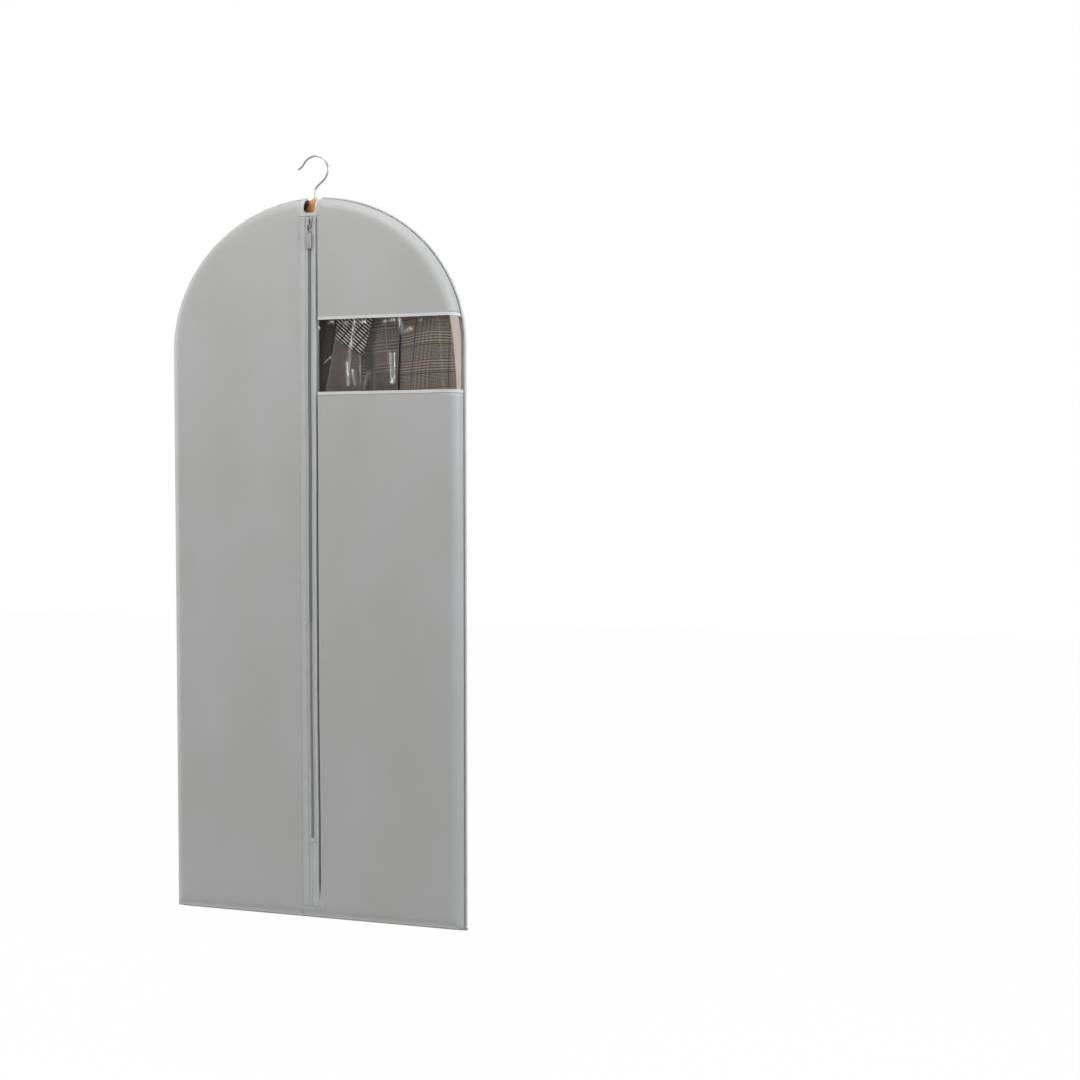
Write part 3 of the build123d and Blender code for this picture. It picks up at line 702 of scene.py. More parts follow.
# each crease of the film: its run of (x, drop) points, its width and its strength; it is raised as a ridge
# and painted as a white highlight
CREASES = [
    (((0.0308, 0.3143), (0.0430, 0.3035)), 0.0016, 1.0),
    (((0.0915, 0.2360), (0.0810, 0.2960), (0.0768, 0.3480)), 0.0032, 0.75),
    (((0.0765, 0.3150), (0.0775, 0.3540)), 0.0036, 1.25),
    (((0.0870, 0.3300), (0.0905, 0.3545)), 0.0034, 0.85),
    (((0.1010, 0.2980), (0.1022, 0.3549)), 0.0012, 0.7),
    (((0.1625, 0.3010), (0.1640, 0.3530)), 0.0034, 1.15),
    (((0.1700, 0.3000), (0.1690, 0.3530)), 0.0018, 1.1),
    (((0.1790, 0.2380), (0.1850, 0.2620), (0.2020, 0.2560)), 0.0040, 0.8),
    (((0.0150, 0.2420), (0.0210, 0.2500), (0.0150, 0.2560)), 0.0018, 0.8),
    (((0.0130, 0.2800), (0.0150, 0.2930)), 0.0034, 0.35),
    (((0.0140, 0.3350), (0.0150, 0.3480)), 0.0040, 0.25),
    (((0.1180, 0.3350), (0.1080, 0.3620)), 0.0050, 0.40),
    (((0.2560, 0.2400), (0.2650, 0.3650)), 0.0030, 0.25),
]


def from_line(x, d, a, b):
    """How far a point lies from a straight stretch of crease."""
    ax, ad = a
    run_x, run_d = b[0] - ax, b[1] - ad
    t = ((x - ax) * run_x + (d - ad) * run_d) / (run_x**2 + run_d**2)
    t = min(max(t, 0.0), 1.0)
    return math.hypot(x - ax - run_x * t, d - ad - run_d * t)


def crease_at(x, z):
    """0 on smooth film, 1 on a crease."""
    d = CROWN_Z - z
    share = 0.0
    for run, width, strength in CREASES:
        for a, b in zip(run, run[1:]):
            share = max(share, strength * bell(from_line(x, d, a, b), 0, width))
    # crinkles just below the film's top edge, raised and painted as white highlights
    ripple = CROWN_Z - WINDOW_TOP + 0.008 + 0.005 * waver(x * 30, 1.3, 0)
    strength = ease((waver(x * 52, 4.1, 0) + 0.05) / 0.3)
    return max(share, 0.8 * strength * bell(d, ripple, 0.0035))


def crease_film(mesh):
    """Refine the film and put its creases in, as raised ridges and as an attribute that its finish paints as
    white highlights.
    """
    with opened(mesh) as shell:
        bmesh.ops.triangulate(shell, faces=shell.faces[:])
        bmesh.ops.subdivide_edges(shell, edges=shell.edges[:], cuts=4, use_grid_fill=True)
    share = [crease_at(v.co.x, v.co.z) if on_flat(v.co) else 0.0 for v in mesh.vertices]
    for v, amount in zip(mesh.vertices, share):
        v.co.y -= 0.0010 * amount
    mark_points(mesh, "crease", share)


for mesh, node, leaf, finish, slot_name, flat in (
    (left_cloth, "front_left_panel", "front_left", bag_cloth, "bag_cloth", (0.31, 1.40)),
    (upper_cloth, "front_right_upper_panel", "front_right", bag_cloth, "bag_cloth", (0.31, 0.26)),
    (lower_cloth, "front_right_lower_panel", "front_right", bag_cloth, "bag_cloth", (0.31, 1.03)),
    (pane_cloth, "window_pane", "front_right", window_film, "clear_film", (0.31, 0.135)),
):
    if mesh is pane_cloth:
        crease_film(mesh)
    piece = front_piece(mesh, finish)
    if mesh is pane_cloth:
        thicken(piece, FILM)
    else:
        thicken(piece, CLOTH, inside=cream_inside)
    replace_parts(piece, node)

# bindings above and below the window
binding_skin = dished_cloth("binding skin", FRONT_SEAM_Y, FRONT_Y - 0.0006)
for node, low, high in (
    ("window_upper_binding", upper_binding_low.z, upper_binding_high.z),
    ("window_lower_binding", lower_binding_low.z, lower_binding_high.z),
):
    strip = cut_piece(binding_skin, node + "_tape", BAND_RIGHT, z_low=low - 0.0003, z_high=high + 0.0003)
    piece = front_piece(strip, pale_trim)
    thicken(piece, BINDING)
    crisp(piece)
    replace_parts(piece, node)

# facing round the hanger opening, and the patch that closes the zip's foot
facing_cloth = cut_piece(front_skin, "slot_facing_cloth", facing_low.x, facing_high.x, z_low=facing_low.z)
patch_cloth = cut_piece(front_skin, "zip_foot_cloth", patch_low.x, patch_high.x, z_high=patch_high.z + 0.001)
OPENING_HALF = 0.0115
OPENING_FOOT = CROWN_Z - 0.034
OPENING_CORNER = 0.007
CORNER_CUTS = 6


def cut_opening(mesh):
    """Cut the hanger's opening, with its round lower corners, out of the facing."""
    planes = []
    for side in (-1, 1):
        centre = Vector((side * (OPENING_HALF - OPENING_CORNER), 0, OPENING_FOOT + OPENING_CORNER))
        for i in range(CORNER_CUTS + 1):
            turn = math.pi / 2 * i / CORNER_CUTS
            normal = Vector((side * math.cos(turn), 0, -math.sin(turn)))
            planes.append((centre + normal * OPENING_CORNER, normal))
    with opened(mesh) as shell:
        for place, normal in planes:
            slice_at(shell, place, normal, 1e-7)
        gone = [f for f in shell.faces if all((f.calc_center_median() - c).dot(n) < 1e-7 for c, n in planes)]
        bmesh.ops.delete(shell, geom=gone, context="FACES")


cut_opening(facing_cloth)
for mesh, node, finish in (
    (facing_cloth, "slot_facing", pale_facing),
    (patch_cloth, "zip_foot_patch", bag_cloth),
):
    settle(mesh)
    piece = new_piece(mesh, finish)
    thicken(piece, BINDING)
    crisp(piece)
    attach(piece, "bag")
    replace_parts(piece, node)

# ---- Back cloth ----

back_skin = dished_cloth("back_cloth", BACK_SEAM_Y, BACK_Y)
for v in back_skin.vertices:
    v.co.y -= billow(-v.co.x, v.co.z - 0.4) * 0.8
back_cloth = new_piece(back_skin, back_cloth_finish)
thicken(back_cloth, CLOTH, inside=cream_inside)
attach(back_cloth, "bag")
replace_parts(back_cloth, "back_panel")

for spare in (front_skin, binding_skin):
    bpy.data.meshes.remove(spare)

# ---- Piping ----

CORD_GAP = 0.0112  # half the gap that the cords leave for the hanger
CORD_SIDE = 0.29749  # beyond this x a cord runs straight up the bag's side
CORD_FOOT = 0.004  # how far above the bag's foot a cord starts
CORD_FOOT_X = 0.29  # points nearer the middle than this belong to the hem, not to a cord


def tube(name, path, radius, sides=10):
    """A round cord along a path of points in the seam's plane, with flat ends."""
    points = []
    for i, p in enumerate(path):
        before, after = path[max(i - 1, 0)], path[min(i + 1, len(path) - 1)]
        along = (Vector(after) - Vector(before)).normalized()
        across = Vector((0, 1, 0))
        out = along.cross(across).normalized()
        for k in range(sides):
            turn = 2 * math.pi * k / sides
            points.append(Vector(p) + (out * math.cos(turn) + across * math.sin(turn)) * radius)
    faces = quads_between(len(path), sides)
    faces.append(tuple(range(sides - 1, -1, -1)))
    faces.append(tuple((len(path) - 1) * sides + k for k in range(sides)))
    mesh = mesh_from(name, [tuple(p) for p in points], faces)
    face_one_way(mesh)
    return mesh


bead_ring = bag_ring(BEAD, 0.006)
for side, word in SIDES:
    run = [(x, 0.0, z) for x, z in bead_ring if x * side > CORD_GAP and z > FOOT_Z + CORD_FOOT]
    run = [p for p in run if abs(p[0]) > CORD_FOOT_X or p[2] > SPRING_Z]
    run.sort(key=lambda p: p[2] if abs(p[0]) > CORD_SIDE else CROWN_Z + 0.3 - abs(p[0]))
    piece = new_piece(tube(f"{word}_piping_cord", run, BEAD), piping_cloth)
    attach(piece, "bag")
    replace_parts(piece, f"{word}_piping")

# ---- Zip tapes, teeth and stops ----

# where a tape has its lengthwise lines of points, out from the zip's middle
TAPE_STATIONS = (
    0.0042, 0.0052, 0.0064, 0.0072, 0.0078, 0.0084, 0.0092, 0.0098, 0.0104,
    0.0110, 0.0116, 0.0122, 0.0128, 0.0134, 0.0140, 0.0148, 0.0156, 0.0164,
)
FILM_REACH = 0.0173  # how far out the tape goes beside the film
WIDE_EDGE = 0.0034  # the tape's inner edge beside the teeth
NARROW_EDGE = 0.0002  # the tape's inner edge below them
EDGE_STEP_Z = TEETH_FOOT - 0.0004


def tape_relief(side, x, z):
    """How far the tape lies behind its flat plane, and its painted shade and dark lines, at x from the zip's
    middle.
    """
    # right: painted shade down the gutter beside the panel's fold, the shadow that the fold casts
    if side > 0:
        low = ease((SLIT_TOP + 0.004 - z) / 0.30)
        foot = ease((z - FOOT_Z - 0.045) / 0.03)
        gutter = ease((x - 0.0118) / 0.0022) * foot
        painted_shade_and_dark_lines = 0.85 * ease((x - 0.0122) / 0.0016) * foot * (0.35 + 0.65 * low)
        return 0.0042 * gutter * (0.55 + 0.45 * low) - 0.0011 * bell(x, 0.0106, 0.0016), painted_shade_and_dark_lines
    # left: a dark woven line, and a little painted shade in the gutter by the panel's fold
    strip = ease((x - 0.0088) / 0.0016) * (1 - ease((x - 0.0160) / 0.0014))
    gutter = ease((x - 0.0166) / 0.0014)
    line = bell(x, 0.0078, 0.0006)
    return 0.0005 * line - 0.0007 * strip - 0.0007 * gutter, 0.35 * line + 0.06 * gutter


def tape_mesh(name, side, outer, top, foot):
    """A woven tape: a corded edge beside the teeth, a raised rib and a gutter beside the panel's fold."""
    rows = round((top - foot) / 0.008)
    levels = [top + (foot - top) * r / rows for r in range(rows + 1)]
    levels += [SLIT_TOP - drop for drop in (0.002, 0.005, 0.009)]
    levels += [patch_high.z + rise for rise in (0.003, 0.008, 0.013)]
    levels += [WINDOW_TOP + 0.006, WINDOW_TOP + 0.002, WINDOW_FOOT - 0.002, WINDOW_FOOT - 0.006]
    levels += [EDGE_STEP_Z + 0.0002, EDGE_STEP_Z - 0.0002, SLIT_FOOT, SLIT_FOOT - 0.0004]
    last = TAPE_STATIONS[-1]
    points, painted_shade_and_dark_lines = [], []
    for z in sorted(levels, reverse=True):
        inner = WIDE_EDGE if z > EDGE_STEP_Z else NARROW_EDGE
        beside_film = side > 0 and WINDOW_FOOT - 0.003 < z < WINDOW_TOP + 0.003
        reach = FILM_REACH if beside_film else outer
        near_end = max(1 - ease((SLIT_TOP - z) / 0.012), 1 - ease((z - patch_high.z) / 0.020))
        for x in (inner, *TAPE_STATIONS, *(last + (reach - last) * t for t in (0.34, 0.67, 1.0))):
            cord = 0.0006 * bell(x, inner, 0.0012) if z > EDGE_STEP_Z else 0.0
            back, dark = tape_relief(side, x, z)
            back += (-0.0009 - back) * near_end * ease((x - 0.0050) / 0.0030)
            points.append((side * x, TAPE_Y + back - cord, z))
            # the inner edge between the last tooth and the stop is painted dark
            painted_shade_and_dark_lines.append(0.9 if x < 0.003 and SLIT_FOOT - 0.0001 < z < EDGE_STEP_Z else dark)
    mesh = mesh_from(name, points, quads_between(len(levels), len(TAPE_STATIONS) + 4, closed=False))
    mark_points(mesh, "painted_shade_and_dark_lines", painted_shade_and_dark_lines)
    if sum(p.normal.y for p in mesh.polygons) > 0:
        mesh.flip_normals()
    return mesh


for side, word in SIDES:
    low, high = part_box(f"{word}_zip_tape")
    outer = max(abs(low.x), abs(high.x))
    mesh = tape_mesh(f"{word}_tape_weave", side, outer, high.z, low.z)
    piece = front_piece(mesh, tape_cloth)
    thicken(piece, CLOTH)
    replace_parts(piece, f"{word}_zip_tape")


def row_tree(name, kind, finish):
    """Geometry Nodes that set one small part after another along a line of points."""
    tree = bpy.data.node_groups.new(name, "GeometryNodeTree")
    sorts = {"Geometry": "Geometry", "Seed": "Int"}
    for socket in ("Geometry", "Pitch", "Along", "Across", "Deep", "Shift", "Smallest", "Largest", "Seed"):
        sort = sorts.get(socket, "Float")
        tree.interface.new_socket(socket, in_out="INPUT", socket_type="NodeSocket" + sort)
    tree.interface.new_socket("Geometry", in_out="OUTPUT", socket_type="NodeSocketGeometry")

    def step(kind, *feeds, **values):
        return add_node(tree, kind, *feeds, **values).outputs

    given = step("NodeGroupInput")
    curve = step("GeometryNodeMeshToCurve", (given["Geometry"], "Mesh"))
    spaced = step("GeometryNodeResampleCurve", (curve[0], "Curve"), (given["Pitch"], "Length"), mode="LENGTH")
    tangent = step("GeometryNodeInputTangent")
    turned = step("FunctionNodeAlignRotationToVector", (tangent[0], "Vector"), axis="X")
    size = step("ShaderNodeCombineXYZ", (given["Along"], "X"), (given["Across"], "Y"), (given["Deep"], "Z"))
    if kind == "stitch":
        unit = step("GeometryNodeMeshUVSphere", Segments=8, Rings=5, Radius=0.5)["Mesh"]
    else:
        # a tooth of unit size: a waisted stem, and a round head at its lower end
        stem = step("GeometryNodeMeshCube", Size=(0.62, 0.9, 0.78))
        stem = step("GeometryNodeTransform", (stem["Mesh"], "Geometry"), Translation=(0, 0, 0.11))
        head = step("GeometryNodeMeshCylinder", Vertices=10, Radius=0.5, Depth=1.0)
        head = step(
            "GeometryNodeTransform", (head["Mesh"], "Geometry"),
            Rotation=(math.pi / 2, 0, 0), Scale=(1.0, 0.44, 1.0), Translation=(0, 0, -0.28),
        )
        unit = step("GeometryNodeJoinGeometry", (stem[0], 0), (head[0], 0))[0]
    reach = step("ShaderNodeCombineXYZ", (given["Shift"], "Z"))
    shape = step("GeometryNodeTransform", (unit, "Geometry"), (size[0], "Scale"), (reach[0], "Translation"))
    uneven = step(
        "FunctionNodeRandomValue", (given["Smallest"], 2), (given["Largest"], 3), (given["Seed"], "Seed"),
        data_type="FLOAT",
    )
    placed = step(
        "GeometryNodeInstanceOnPoints",
        (spaced[0], "Points"), (shape[0], "Instance"), (turned[0], "Rotation"), (uneven[1], "Scale"),
    )
    last = step("GeometryNodeRealizeInstances", (placed[0], 0))
    if kind == "stitch":
        last = step("GeometryNodeSetShadeSmooth", (last[0], 0))
    coat = step("GeometryNodeSetMaterial", (last[0], "Geometry"), Material=finish)
    add_node(tree, "NodeGroupOutput", (coat[0], 0))
    return tree


def row_of(name, kind, finish, paths, **sizes):
    """Small parts along one or more lines of points, as one plain mesh."""
    points, edges = [], []
    for path in paths:
        base = len(points)
        points += path
        edges += [(base + i, base + i + 1) for i in range(len(path) - 1)]
    mesh = bpy.data.meshes.new(name + " line")
    mesh.from_pydata(points, edges, [])
    line = in_scene(name + " line", mesh)
    tree = row_tree(name + " rule", kind, finish)
    rule = line.modifiers.new("row", "NODES")
    rule.node_group = tree
    settings = {"Shift": 0.0, "Smallest": 1.0, "Largest": 1.0, "Seed": 7, **sizes}
    for item in tree.interface.items_tree:
        if item.item_type == "SOCKET" and item.in_out == "INPUT" and item.name in settings:
            rule[item.identifier] = settings[item.name]
    made = evaluated(line, name)
    bpy.data.objects.remove(line)
    bpy.data.meshes.remove(mesh)
    return made


def sewn_line(name, paths, pitch=0.0042, along=0.0030, thick=0.0006):
    sizes = {"Pitch": pitch, "Along": along, "Across": thick, "Deep": thick}
    return row_of(name, "stitch", thread, paths, Smallest=0.9, Largest=1.06, **sizes)


def upright(x, low, high, y, step=0.02):
    count = max(2, round((high - low) / step))
    return [(x, y, low + (high - low) * i / count) for i in range(count + 1)]


SEAM_TO_FOLD = 0.0030  # from a panel's fold to its line of stitches
STITCH_FOOT = FOOT_Z + 0.028
STITCH_TOP = CROWN_Z - 0.012
ON_CLOTH = FRONT_Y - 0.0001
ON_TAPE = TAPE_Y - 0.0003
LEFT_TAPE_SEAM = -0.0159
RIGHT_TAPE_SEAM = 0.0088
RIGHT_OUTER_SEAM = 0.0125
TAPE_STITCH = (0.0036, 0.0026, 0.0005)  # pitch, length and thickness


def across_patch(x):
    """A line of stitches down the patch at the zip's foot."""
    return upright(x, FOOT_Z + 0.012, patch_high.z - 0.001, ON_CLOTH)


edge_left, edge_right = BAND_LEFT - SEAM_TO_FOLD, BAND_RIGHT + SEAM_TO_FOLD
tape_low, tape_high = left_tape_low.z + 0.012, left_tape_high.z - 0.002
for name, leaf, lines, sizes in (
    ("left_edge_stitches", "front_left", [upright(edge_left, STITCH_FOOT, STITCH_TOP, ON_CLOTH)], ()),
    ("right_edge_stitches", "front_right", [
        upright(edge_right, STITCH_FOOT, LOWER_CLOTH_TOP - 0.002, ON_CLOTH),
        upright(edge_right, UPPER_CLOTH_FOOT + 0.002, STITCH_TOP, ON_CLOTH),
    ], ()),
    ("left_tape_stitches", "front_left", [
        upright(LEFT_TAPE_SEAM, tape_low, tape_high, ON_TAPE), across_patch(LEFT_TAPE_SEAM),
    ], TAPE_STITCH),
    ("right_tape_stitches", "front_right", [
        upright(RIGHT_TAPE_SEAM, right_tape_low.z + 0.012, right_tape_high.z - 0.002, ON_TAPE),
        across_patch(RIGHT_TAPE_SEAM), across_patch(RIGHT_OUTER_SEAM),
    ], TAPE_STITCH),
):
    front_piece(sewn_line(name, lines, *sizes), thread)

tack_z = stop_low.z - 0.0012
tack_drops = (0.0, 0.0007, 0.0014, 0.0021)
tack_lines = [[(x / 1000, TAPE_Y - 0.0004, tack_z - drop) for x in range(-7, 8)] for drop in tack_drops]
tack = sewn_line("foot_bar_tack", tack_lines, 0.0022, 0.0020, 0.0007)
settle(tack)
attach(new_piece(tack, thread), "bag")

TOOTH_PITCH = 0.004 * 0.99999  # a hair short, so that the last tooth has its place
TOOTH_HEAD_HALF = 0.00103
TOOTH_ALONG = 0.0020
TOOTH_DEEP = 0.0047
TOOTH_SHIFT = 0.00105
for side, word in SIDES:
    low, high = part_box(f"{word}_zip_teeth")
    line = [(0.0, (low.y + high.y) / 2, z) for z in (low.z + TOOTH_HEAD_HALF, high.z - TOOTH_HEAD_HALF)]
    mesh = row_of(
        f"{word}_moulded_teeth", "tooth", teeth_plastic, [line], Pitch=TOOTH_PITCH, Along=TOOTH_ALONG,
        Across=high.y - low.y, Deep=TOOTH_DEEP * -side, Shift=TOOTH_SHIFT * -side,
    )
    face_one_way(mesh)
    # painted shade: the teeth are darker at the interlocking middle, paler towards the tape
    mark_points(mesh, "clear_of_painted_shade", [ease((abs(v.co.x) - 0.0014) / 0.0008) for v in mesh.vertices])
    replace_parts(front_piece(mesh, teeth_plastic), f"{word}_zip_teeth")

# the stops keep their machined shapes, moved along with the cloth round them
for node, leaf in (
    ("left_top_stop", "front_left"),
    ("right_top_stop", "front_right"),
    ("bottom_stop", "front_left"),
):
    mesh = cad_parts[node].data.copy()
    mesh.name = node + "_crimp"
    with opened(mesh) as shell:
        bmesh.ops.remove_doubles(shell, verts=shell.verts, dist=1e-6)
    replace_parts(front_piece(mesh, stop_metal), node)

# ---- The garment on the hanger ----

JACKET_FRONT_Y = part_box("jacket_right_front")[0].y
LAPEL_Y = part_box("jacket_right_lapel")[0].y
KNIT_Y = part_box("knit_top")[0].y
jacket_back_low, jacket_back_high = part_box("jacket_back")
JACKET_BACK_Y = jacket_back_high.y
HEM_DROP = (CROWN_Z - jacket_back_low.z) * 1000  # in millimetres, as the outlines are


def through(points, per=8):
    """A smooth run of points through the given ones."""
    path = [points[0], *points, points[-1]]
    run = []
    for i in range(1, len(path) - 2):
        p0, p1, p2, p3 = (Vector(p) for p in path[i - 1 : i + 3])
        for k in range(per):
            t = k / per
            bend, twist = 2 * p0 - 5 * p1 + 4 * p2 - p3, 3 * p1 - p0 - 3 * p2 + p3
            run.append(tuple(0.5 * (2 * p1 + (p2 - p0) * t + bend * t**2 + twist * t**3)))
    return run + [points[-1]]


def cut_blank(name, outline, depth_at, step=0.008, side=1, facing=-1):
    """A blank of cloth inside an outline of (x, drop) in millimetres, with its swell from depth_at."""
    ring = []
    corners = [(side * x / 1000, CROWN_Z - d / 1000) for x, d in outline]
    for a, b in zip(corners, corners[1:] + corners[:1]):
        parts = max(1, math.ceil(math.dist(a, b) / step))
        for i in range(parts):
            ring.append(tuple(p + (q - p) * i / parts for p, q in zip(a, b)))
    points, faces = inside_fill(ring, step)
    mesh = mesh_from(name, [(x, depth_at(x, z), z) for x, z in points], faces)
    if sum(p.normal.y * p.area for p in mesh.polygons) * facing < 0:
        mesh.flip_normals()
    return mesh


def beside_lapel(x, z):
    """1 in the hollow between a lapel's edge and the jacket's front, 0 away from it: the valley there and its
    painted shadow.
    """
    d = CROWN_Z - z
    line = 0.1130 + 0.25 * max(0.0, 0.29 - d)
    return min(1.0, 1.4 * bell(abs(x), line, 0.0095)) * bell(d, 0.34, 0.12)


def front_swell(x, z):
    """The jacket's front: a full chest, a valley beside the lapel and soft upright folds below."""
    d = CROWN_Z - z
    chest = 0.0030 * bell(abs(x), 0.145, 0.035) * bell(d, 0.26, 0.13)
    valley = 0.0055 * beside_lapel(x, z)
    folds = 0.0016 * ease((d - 0.35) / 0.3) * math.sin(abs(x) * 120 + 1.4 * waver(x * 5, 1.0, z * 3))
    creases = 0.0012 * waver(x * 22, 7.7, z * 9)
    return JACKET_FRONT_Y - chest + valley - folds * 0.6 - creases


def lapel_swell(lift):
    """The roll of a lapel, lifted off the front by lift."""
    def depth(x, z):
        roll = 0.0022 * bell(abs(x), 0.075, 0.03)
        crease = 0.0008 * waver(x * 30, 2.2, z * 14)
        return LAPEL_Y + 0.0012 - lift - roll - crease

    return depth


def back_swell(x, z):
    folds = 0.0015 * math.sin(x * 60) * ease((CROWN_Z - z - 0.3) / 0.3)
    return JACKET_BACK_Y + 0.0015 * waver(x * 9, 4.0, z * 4) + folds


def knit_swell(x, z):
    return KNIT_Y + 0.0012 + 0.0011 * math.sin(x * 190 + 2 * waver(0, 3, z * 5))


def pocket_swell(x, z):
    return front_swell(x, z) - 0.0016


# outlines as (x, drop below the crown) in millimetres, for the right side of the bag or the whole piece
shoulder_line = through([(50, 33), (125, 53), (204, 103)])
side_line = through([(174, 240), (166, 450), (172, HEM_DROP)])
half_side = shoulder_line + side_line
front_outline = half_side + [(6, HEM_DROP), (6, 430), (23.9, 366.8), (48, 240)]
leaf_outline = [
    (50, 39), (91.9, 104.9), (80, 123.8), (126, 150), (119, 240), (101, 300), (72, 286), (45, 268), (48, 240),
]
facing_outline = [
    (47.5, 246), (112, 246), (98, 300), (96, 370), (62, 415), (6, 430), (23.9, 366.8), (45, 268),
]
knit_outline = [(-58, 74), (-45, 69), (0, 68), (45, 69), (58, 74), (58, 487), (-58, 487)]
whole_back = half_side + [(-x, d) for x, d in reversed(half_side)]
pocket_outline = [(111, 330), (168, 331), (167, 418), (160, 428), (120, 428), (112, 419)]


def garment_piece(mesh, finish, wall, nodes, inside=dark_lining):
    """A hung piece of the jacket or the knit."""
    piece = new_piece(mesh, finish)
    thicken(piece, wall, inside=inside)
    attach(piece, "bag")
    if nodes:
        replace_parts(piece, *nodes)


for side, word in reversed(SIDES):
    front = cut_blank(f"jacket_{word}_front_cloth", front_outline, front_swell, 0.006, side)
    # the front stores a painted shadow in the hollow beside the lapel's edge
    mark_points(front, "painted_lapel_shadow", [beside_lapel(v.co.x, v.co.z) for v in front.vertices])
    garment_piece(front, jacket_front_wool, 0.002, [f"jacket_{word}_front"])
    leaf = cut_blank(f"jacket_{word}_lapel_leaf", leaf_outline, lapel_swell(0.0016), 0.006, side)
    garment_piece(leaf, lapel_wool, 0.0014, [f"jacket_{word}_lapel"])
    under = cut_blank(f"jacket_{word}_lapel_facing", facing_outline, lapel_swell(0.0), 0.006, side)
    garment_piece(under, facing_wool, 0.0012, [])

whole = cut_blank("jacket_back_cloth", whole_back, back_swell, 0.010, facing=1)
garment_piece(whole, jacket_back_wool, 0.002, ["jacket_back"])
knit = cut_blank("knit_top_cloth", knit_outline, knit_swell, 0.004)
garment_piece(knit, knit_wool, 0.002, ["knit_top"], None)
pocket = cut_blank("breast_pocket", pocket_outline, pocket_swell, 0.004)
garment_piece(pocket, pocket_wool, 0.0012, [], None)

sleeve_low, sleeve_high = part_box("jacket_right_sleeve")
SLEEVE_Y = (sleeve_low.y + sleeve_high.y) / 2
SLEEVE_DEEP = (sleeve_high.y - sleeve_low.y) / 2
SLEEVE_TOP = 104  # its drop below the crown, in millimetres
SLEEVE_SIDES = 40
# the sleeve's inner and outer x at each drop, in millimetres
sleeve_sections = [
    (SLEEVE_TOP, 204, 214), (107, 203.5, 221), (114, 202, 228), (135, 197, 239), (180, 187, 256),
    (231, 175.5, 269), (300, 173, 278), (376, 170.5, 283), (420, 171, 282), (560, 176, 275),
    (640, 179, 270), (700, 181, 266),
]


def sleeve_mesh(name, side):
    """A hanging sleeve: rings from the shoulder seam to the cuff, with the slack of the cloth in folds."""
    inner = through([(d, a) for d, a, _ in sleeve_sections], 6)
    outer = through([(d, b) for d, _, b in sleeve_sections], 6)
    points, flow = [], []
    for (d, a), (_, b) in zip(inner, outer):
        z = CROWN_Z - d / 1000
        middle, half = (a + b) / 2000, (b - a) / 2000
        deep = SLEEVE_DEEP * min(1.0, 0.35 + 0.65 * ease((d - SLEEVE_TOP) / 60))
        for k in range(SLEEVE_SIDES):
            turn = 2 * math.pi * k / SLEEVE_SIDES
            x = middle - half * math.cos(turn)
            y = SLEEVE_Y - deep * math.sin(turn)
            fold = waver(x * 14 + z * 9, 6.0 if y < SLEEVE_Y else 9.0, z * 16)
            pull = waver(x * 40, 2.0, z * 12)
            y += (0.0024 * fold + 0.0009 * pull) * -math.sin(turn) * ease((d - 110) / 60)
            points.append((side * x, y, z))
            flow.append((half * (turn if turn <= math.pi else 2 * math.pi - turn) * 0.64 + middle, z))
    faces = quads_between(len(inner), SLEEVE_SIDES) + [tuple(range(SLEEVE_SIDES))]
    mesh = mesh_from(name, points, faces)
    inside = Vector((side * 0.23, SLEEVE_Y, CROWN_Z - 0.4))
    face_one_way(mesh, lambda f: (f.calc_center_median() - inside).dot(f.normal))
    grid = mesh.uv_layers.new(name="cloth")
    for loop in mesh.loops:
        u, v = flow[loop.vertex_index]
        bend = 0.0022 * waver(u * 20, 0.5, v * 12)
        wave = 0.0046 * waver(u * 22, 5.5, v * 9) - 0.06 * (u - 0.22)
        grid.data[loop.index].uv = (u + bend, v + wave)
    return mesh


for side, word in reversed(SIDES):
    sleeve = sleeve_mesh(f"jacket_{word}_sleeve_cloth", side)
    garment_piece(sleeve, jacket_sleeve_wool, 0.0016, [f"jacket_{word}_sleeve"])

# ---- Finishes for the pieces that keep their machined shapes ----

for finish, nodes in (
    (slider_metal, ("slider_body", "pull_link", "pull_tab")),
    (hook_metal, ("hook_wire", "hook_nut", "hook_collar")),
    (hanger_wood, ("hanger",)),
    (trim_cloth, ("bottom_hem",)),
):
    for node in nodes:
        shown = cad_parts[node].data.materials
        shown.clear()
        shown.append(finish)

# ---- Floor, light and camera ----

FLOOR_Z = -1.78
FLOOR_REACH = 9
FLOOR_WHITE = 0.985
SKY = 0.33
WARM = (1.0, 0.985, 0.955)
COOL = (0.90, 0.97, 1.0)


def white_to_camera(tree, lit, white_kind, share, out):
    """Put out a lit shader, or a share of white to the camera and to mirrored and transmitted rays."""
    white = add_node(tree, white_kind, Color=(1, 1, 1, 1), Strength=1.0)
    path = add_node(tree, "ShaderNodeLightPath").outputs
    seen = path["Is Camera Ray"]
    for ray in ("Is Glossy Ray", "Is Transmission Ray"):
        seen = add_node(tree, "ShaderNodeMath", (seen, 0), (path[ray], 1), operation="MAXIMUM").outputs[0]
    amount = add_node(tree, "ShaderNodeMath", (seen, 0), (share, 1), operation="MULTIPLY")
    shown = (amount.outputs[0], 0), (lit.outputs[0], 1), (white.outputs[0], 2)
    tree.links.new(add_node(tree, "ShaderNodeMixShader", *shown).outputs[0], out.inputs["Surface"])


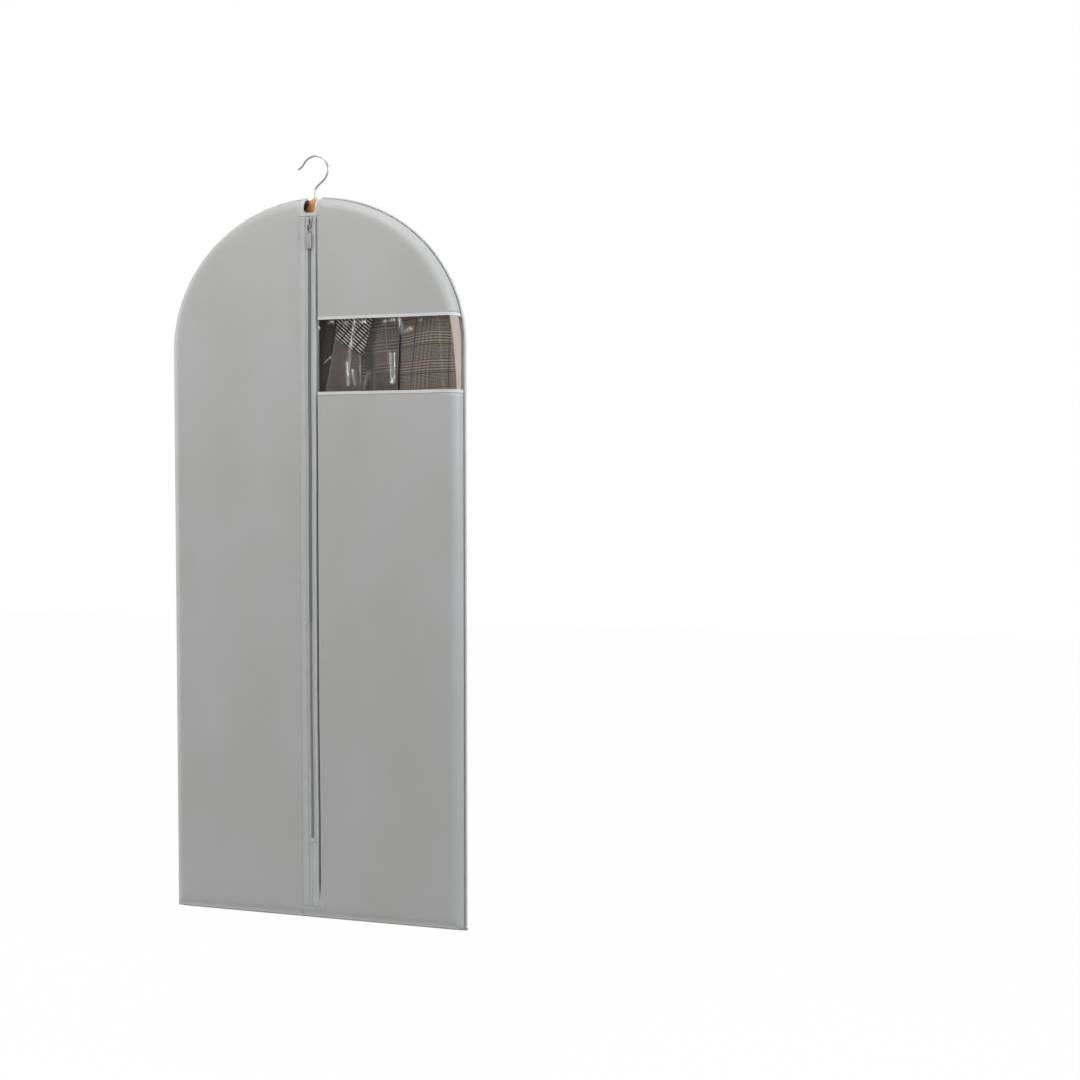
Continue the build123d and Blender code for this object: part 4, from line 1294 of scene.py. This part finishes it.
def white_stage():
    """A pale floor that keeps a soft shadow, and shows white to the camera beyond it."""
    corners = [(FLOOR_REACH * x, FLOOR_REACH * y, FLOOR_Z) for x, y in ((-1, -1), (1, -1), (1, 1), (-1, 1))]
    floor = in_scene("floor", mesh_from("floor", corners, [(0, 1, 2, 3)], False))
    floor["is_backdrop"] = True
    f = Finish("pale floor")
    white_to_camera(f.tree, f.skin, "ShaderNodeEmission", FLOOR_WHITE, f.out)
    pale = f.done(Base_Color=(0.86, 0.86, 0.86, 1), Roughness=0.8, Specular_IOR_Level=0.1)
    floor.data.materials.append(pale)
    world = bpy.data.worlds.new("studio")
    bpy.context.scene.world = world
    world.use_nodes = True
    tree = world.node_tree
    tree.nodes.clear()
    sky = add_node(tree, "ShaderNodeBackground", Strength=SKY)
    white_to_camera(tree, sky, "ShaderNodeBackground", 1.0, add_node(tree, "ShaderNodeOutputWorld"))


def soft_lamp(name, place, target, size, watts, tint=(1, 1, 1)):
    data = bpy.data.lights.new(name, "AREA")
    data.shape = "RECTANGLE"
    data.size, data.size_y = size
    data.energy = watts
    data.color = tint
    lamp = in_scene(name, data)
    lamp.location = place
    lamp.rotation_mode = "QUATERNION"
    lamp.rotation_quaternion = (Vector(target) - Vector(place)).to_track_quat("-Z", "Y")


def aim_camera():
    """The camera stands to the right of the zip, turned past the bag so that it sits left of centre."""
    azimuth = math.radians(24.9)
    distance = 2.621
    height = CROWN_Z - 0.558
    yaw, pitch = math.radians(9.30), math.radians(1.95)
    data = bpy.data.cameras.new("camera")
    data.sensor_width = 36.0
    data.lens = 45.4
    data.clip_start, data.clip_end = 0.05, 100
    camera = in_scene("camera", data)
    bpy.context.scene.camera = camera
    camera.location = (distance * math.sin(azimuth), -distance * math.cos(azimuth), height)
    heading = azimuth - yaw
    level = math.cos(pitch)
    look = Vector((-math.sin(heading) * level, math.cos(heading) * level, -math.sin(pitch)))
    camera.rotation_mode = "QUATERNION"
    camera.rotation_quaternion = look.to_track_quat("-Z", "Y")


white_stage()
soft_lamp("overhead soft box", (0.2, -0.9, 2.2), (0, 0, -0.3), (2.4, 1.6), 46)
soft_lamp("upper soft box", (-0.1, -1.1, 0.9), (0, 0, -0.1), (1.2, 0.8), 8.2)
soft_lamp("front soft box", (-1.8, -3.0, 0.6), (0, 0, -0.6), (2.2, 2.2), 17, WARM)
soft_lamp("right strip", (2.2, -0.3, 0.25), (0, 0, -0.2), (0.7, 1.2), 39, COOL)
soft_lamp("left strip", (-2.38, -0.45, -0.3), (0, 0, -0.6), (0.7, 2.2), 30, COOL)
aim_camera()
bpy.context.scene.view_settings.view_transform = "Standard"

made_low, made_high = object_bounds()
sizes = {
    "cad": [list(cad_low), list(cad_high)],
    "visual": [list(made_low), list(made_high)],
}
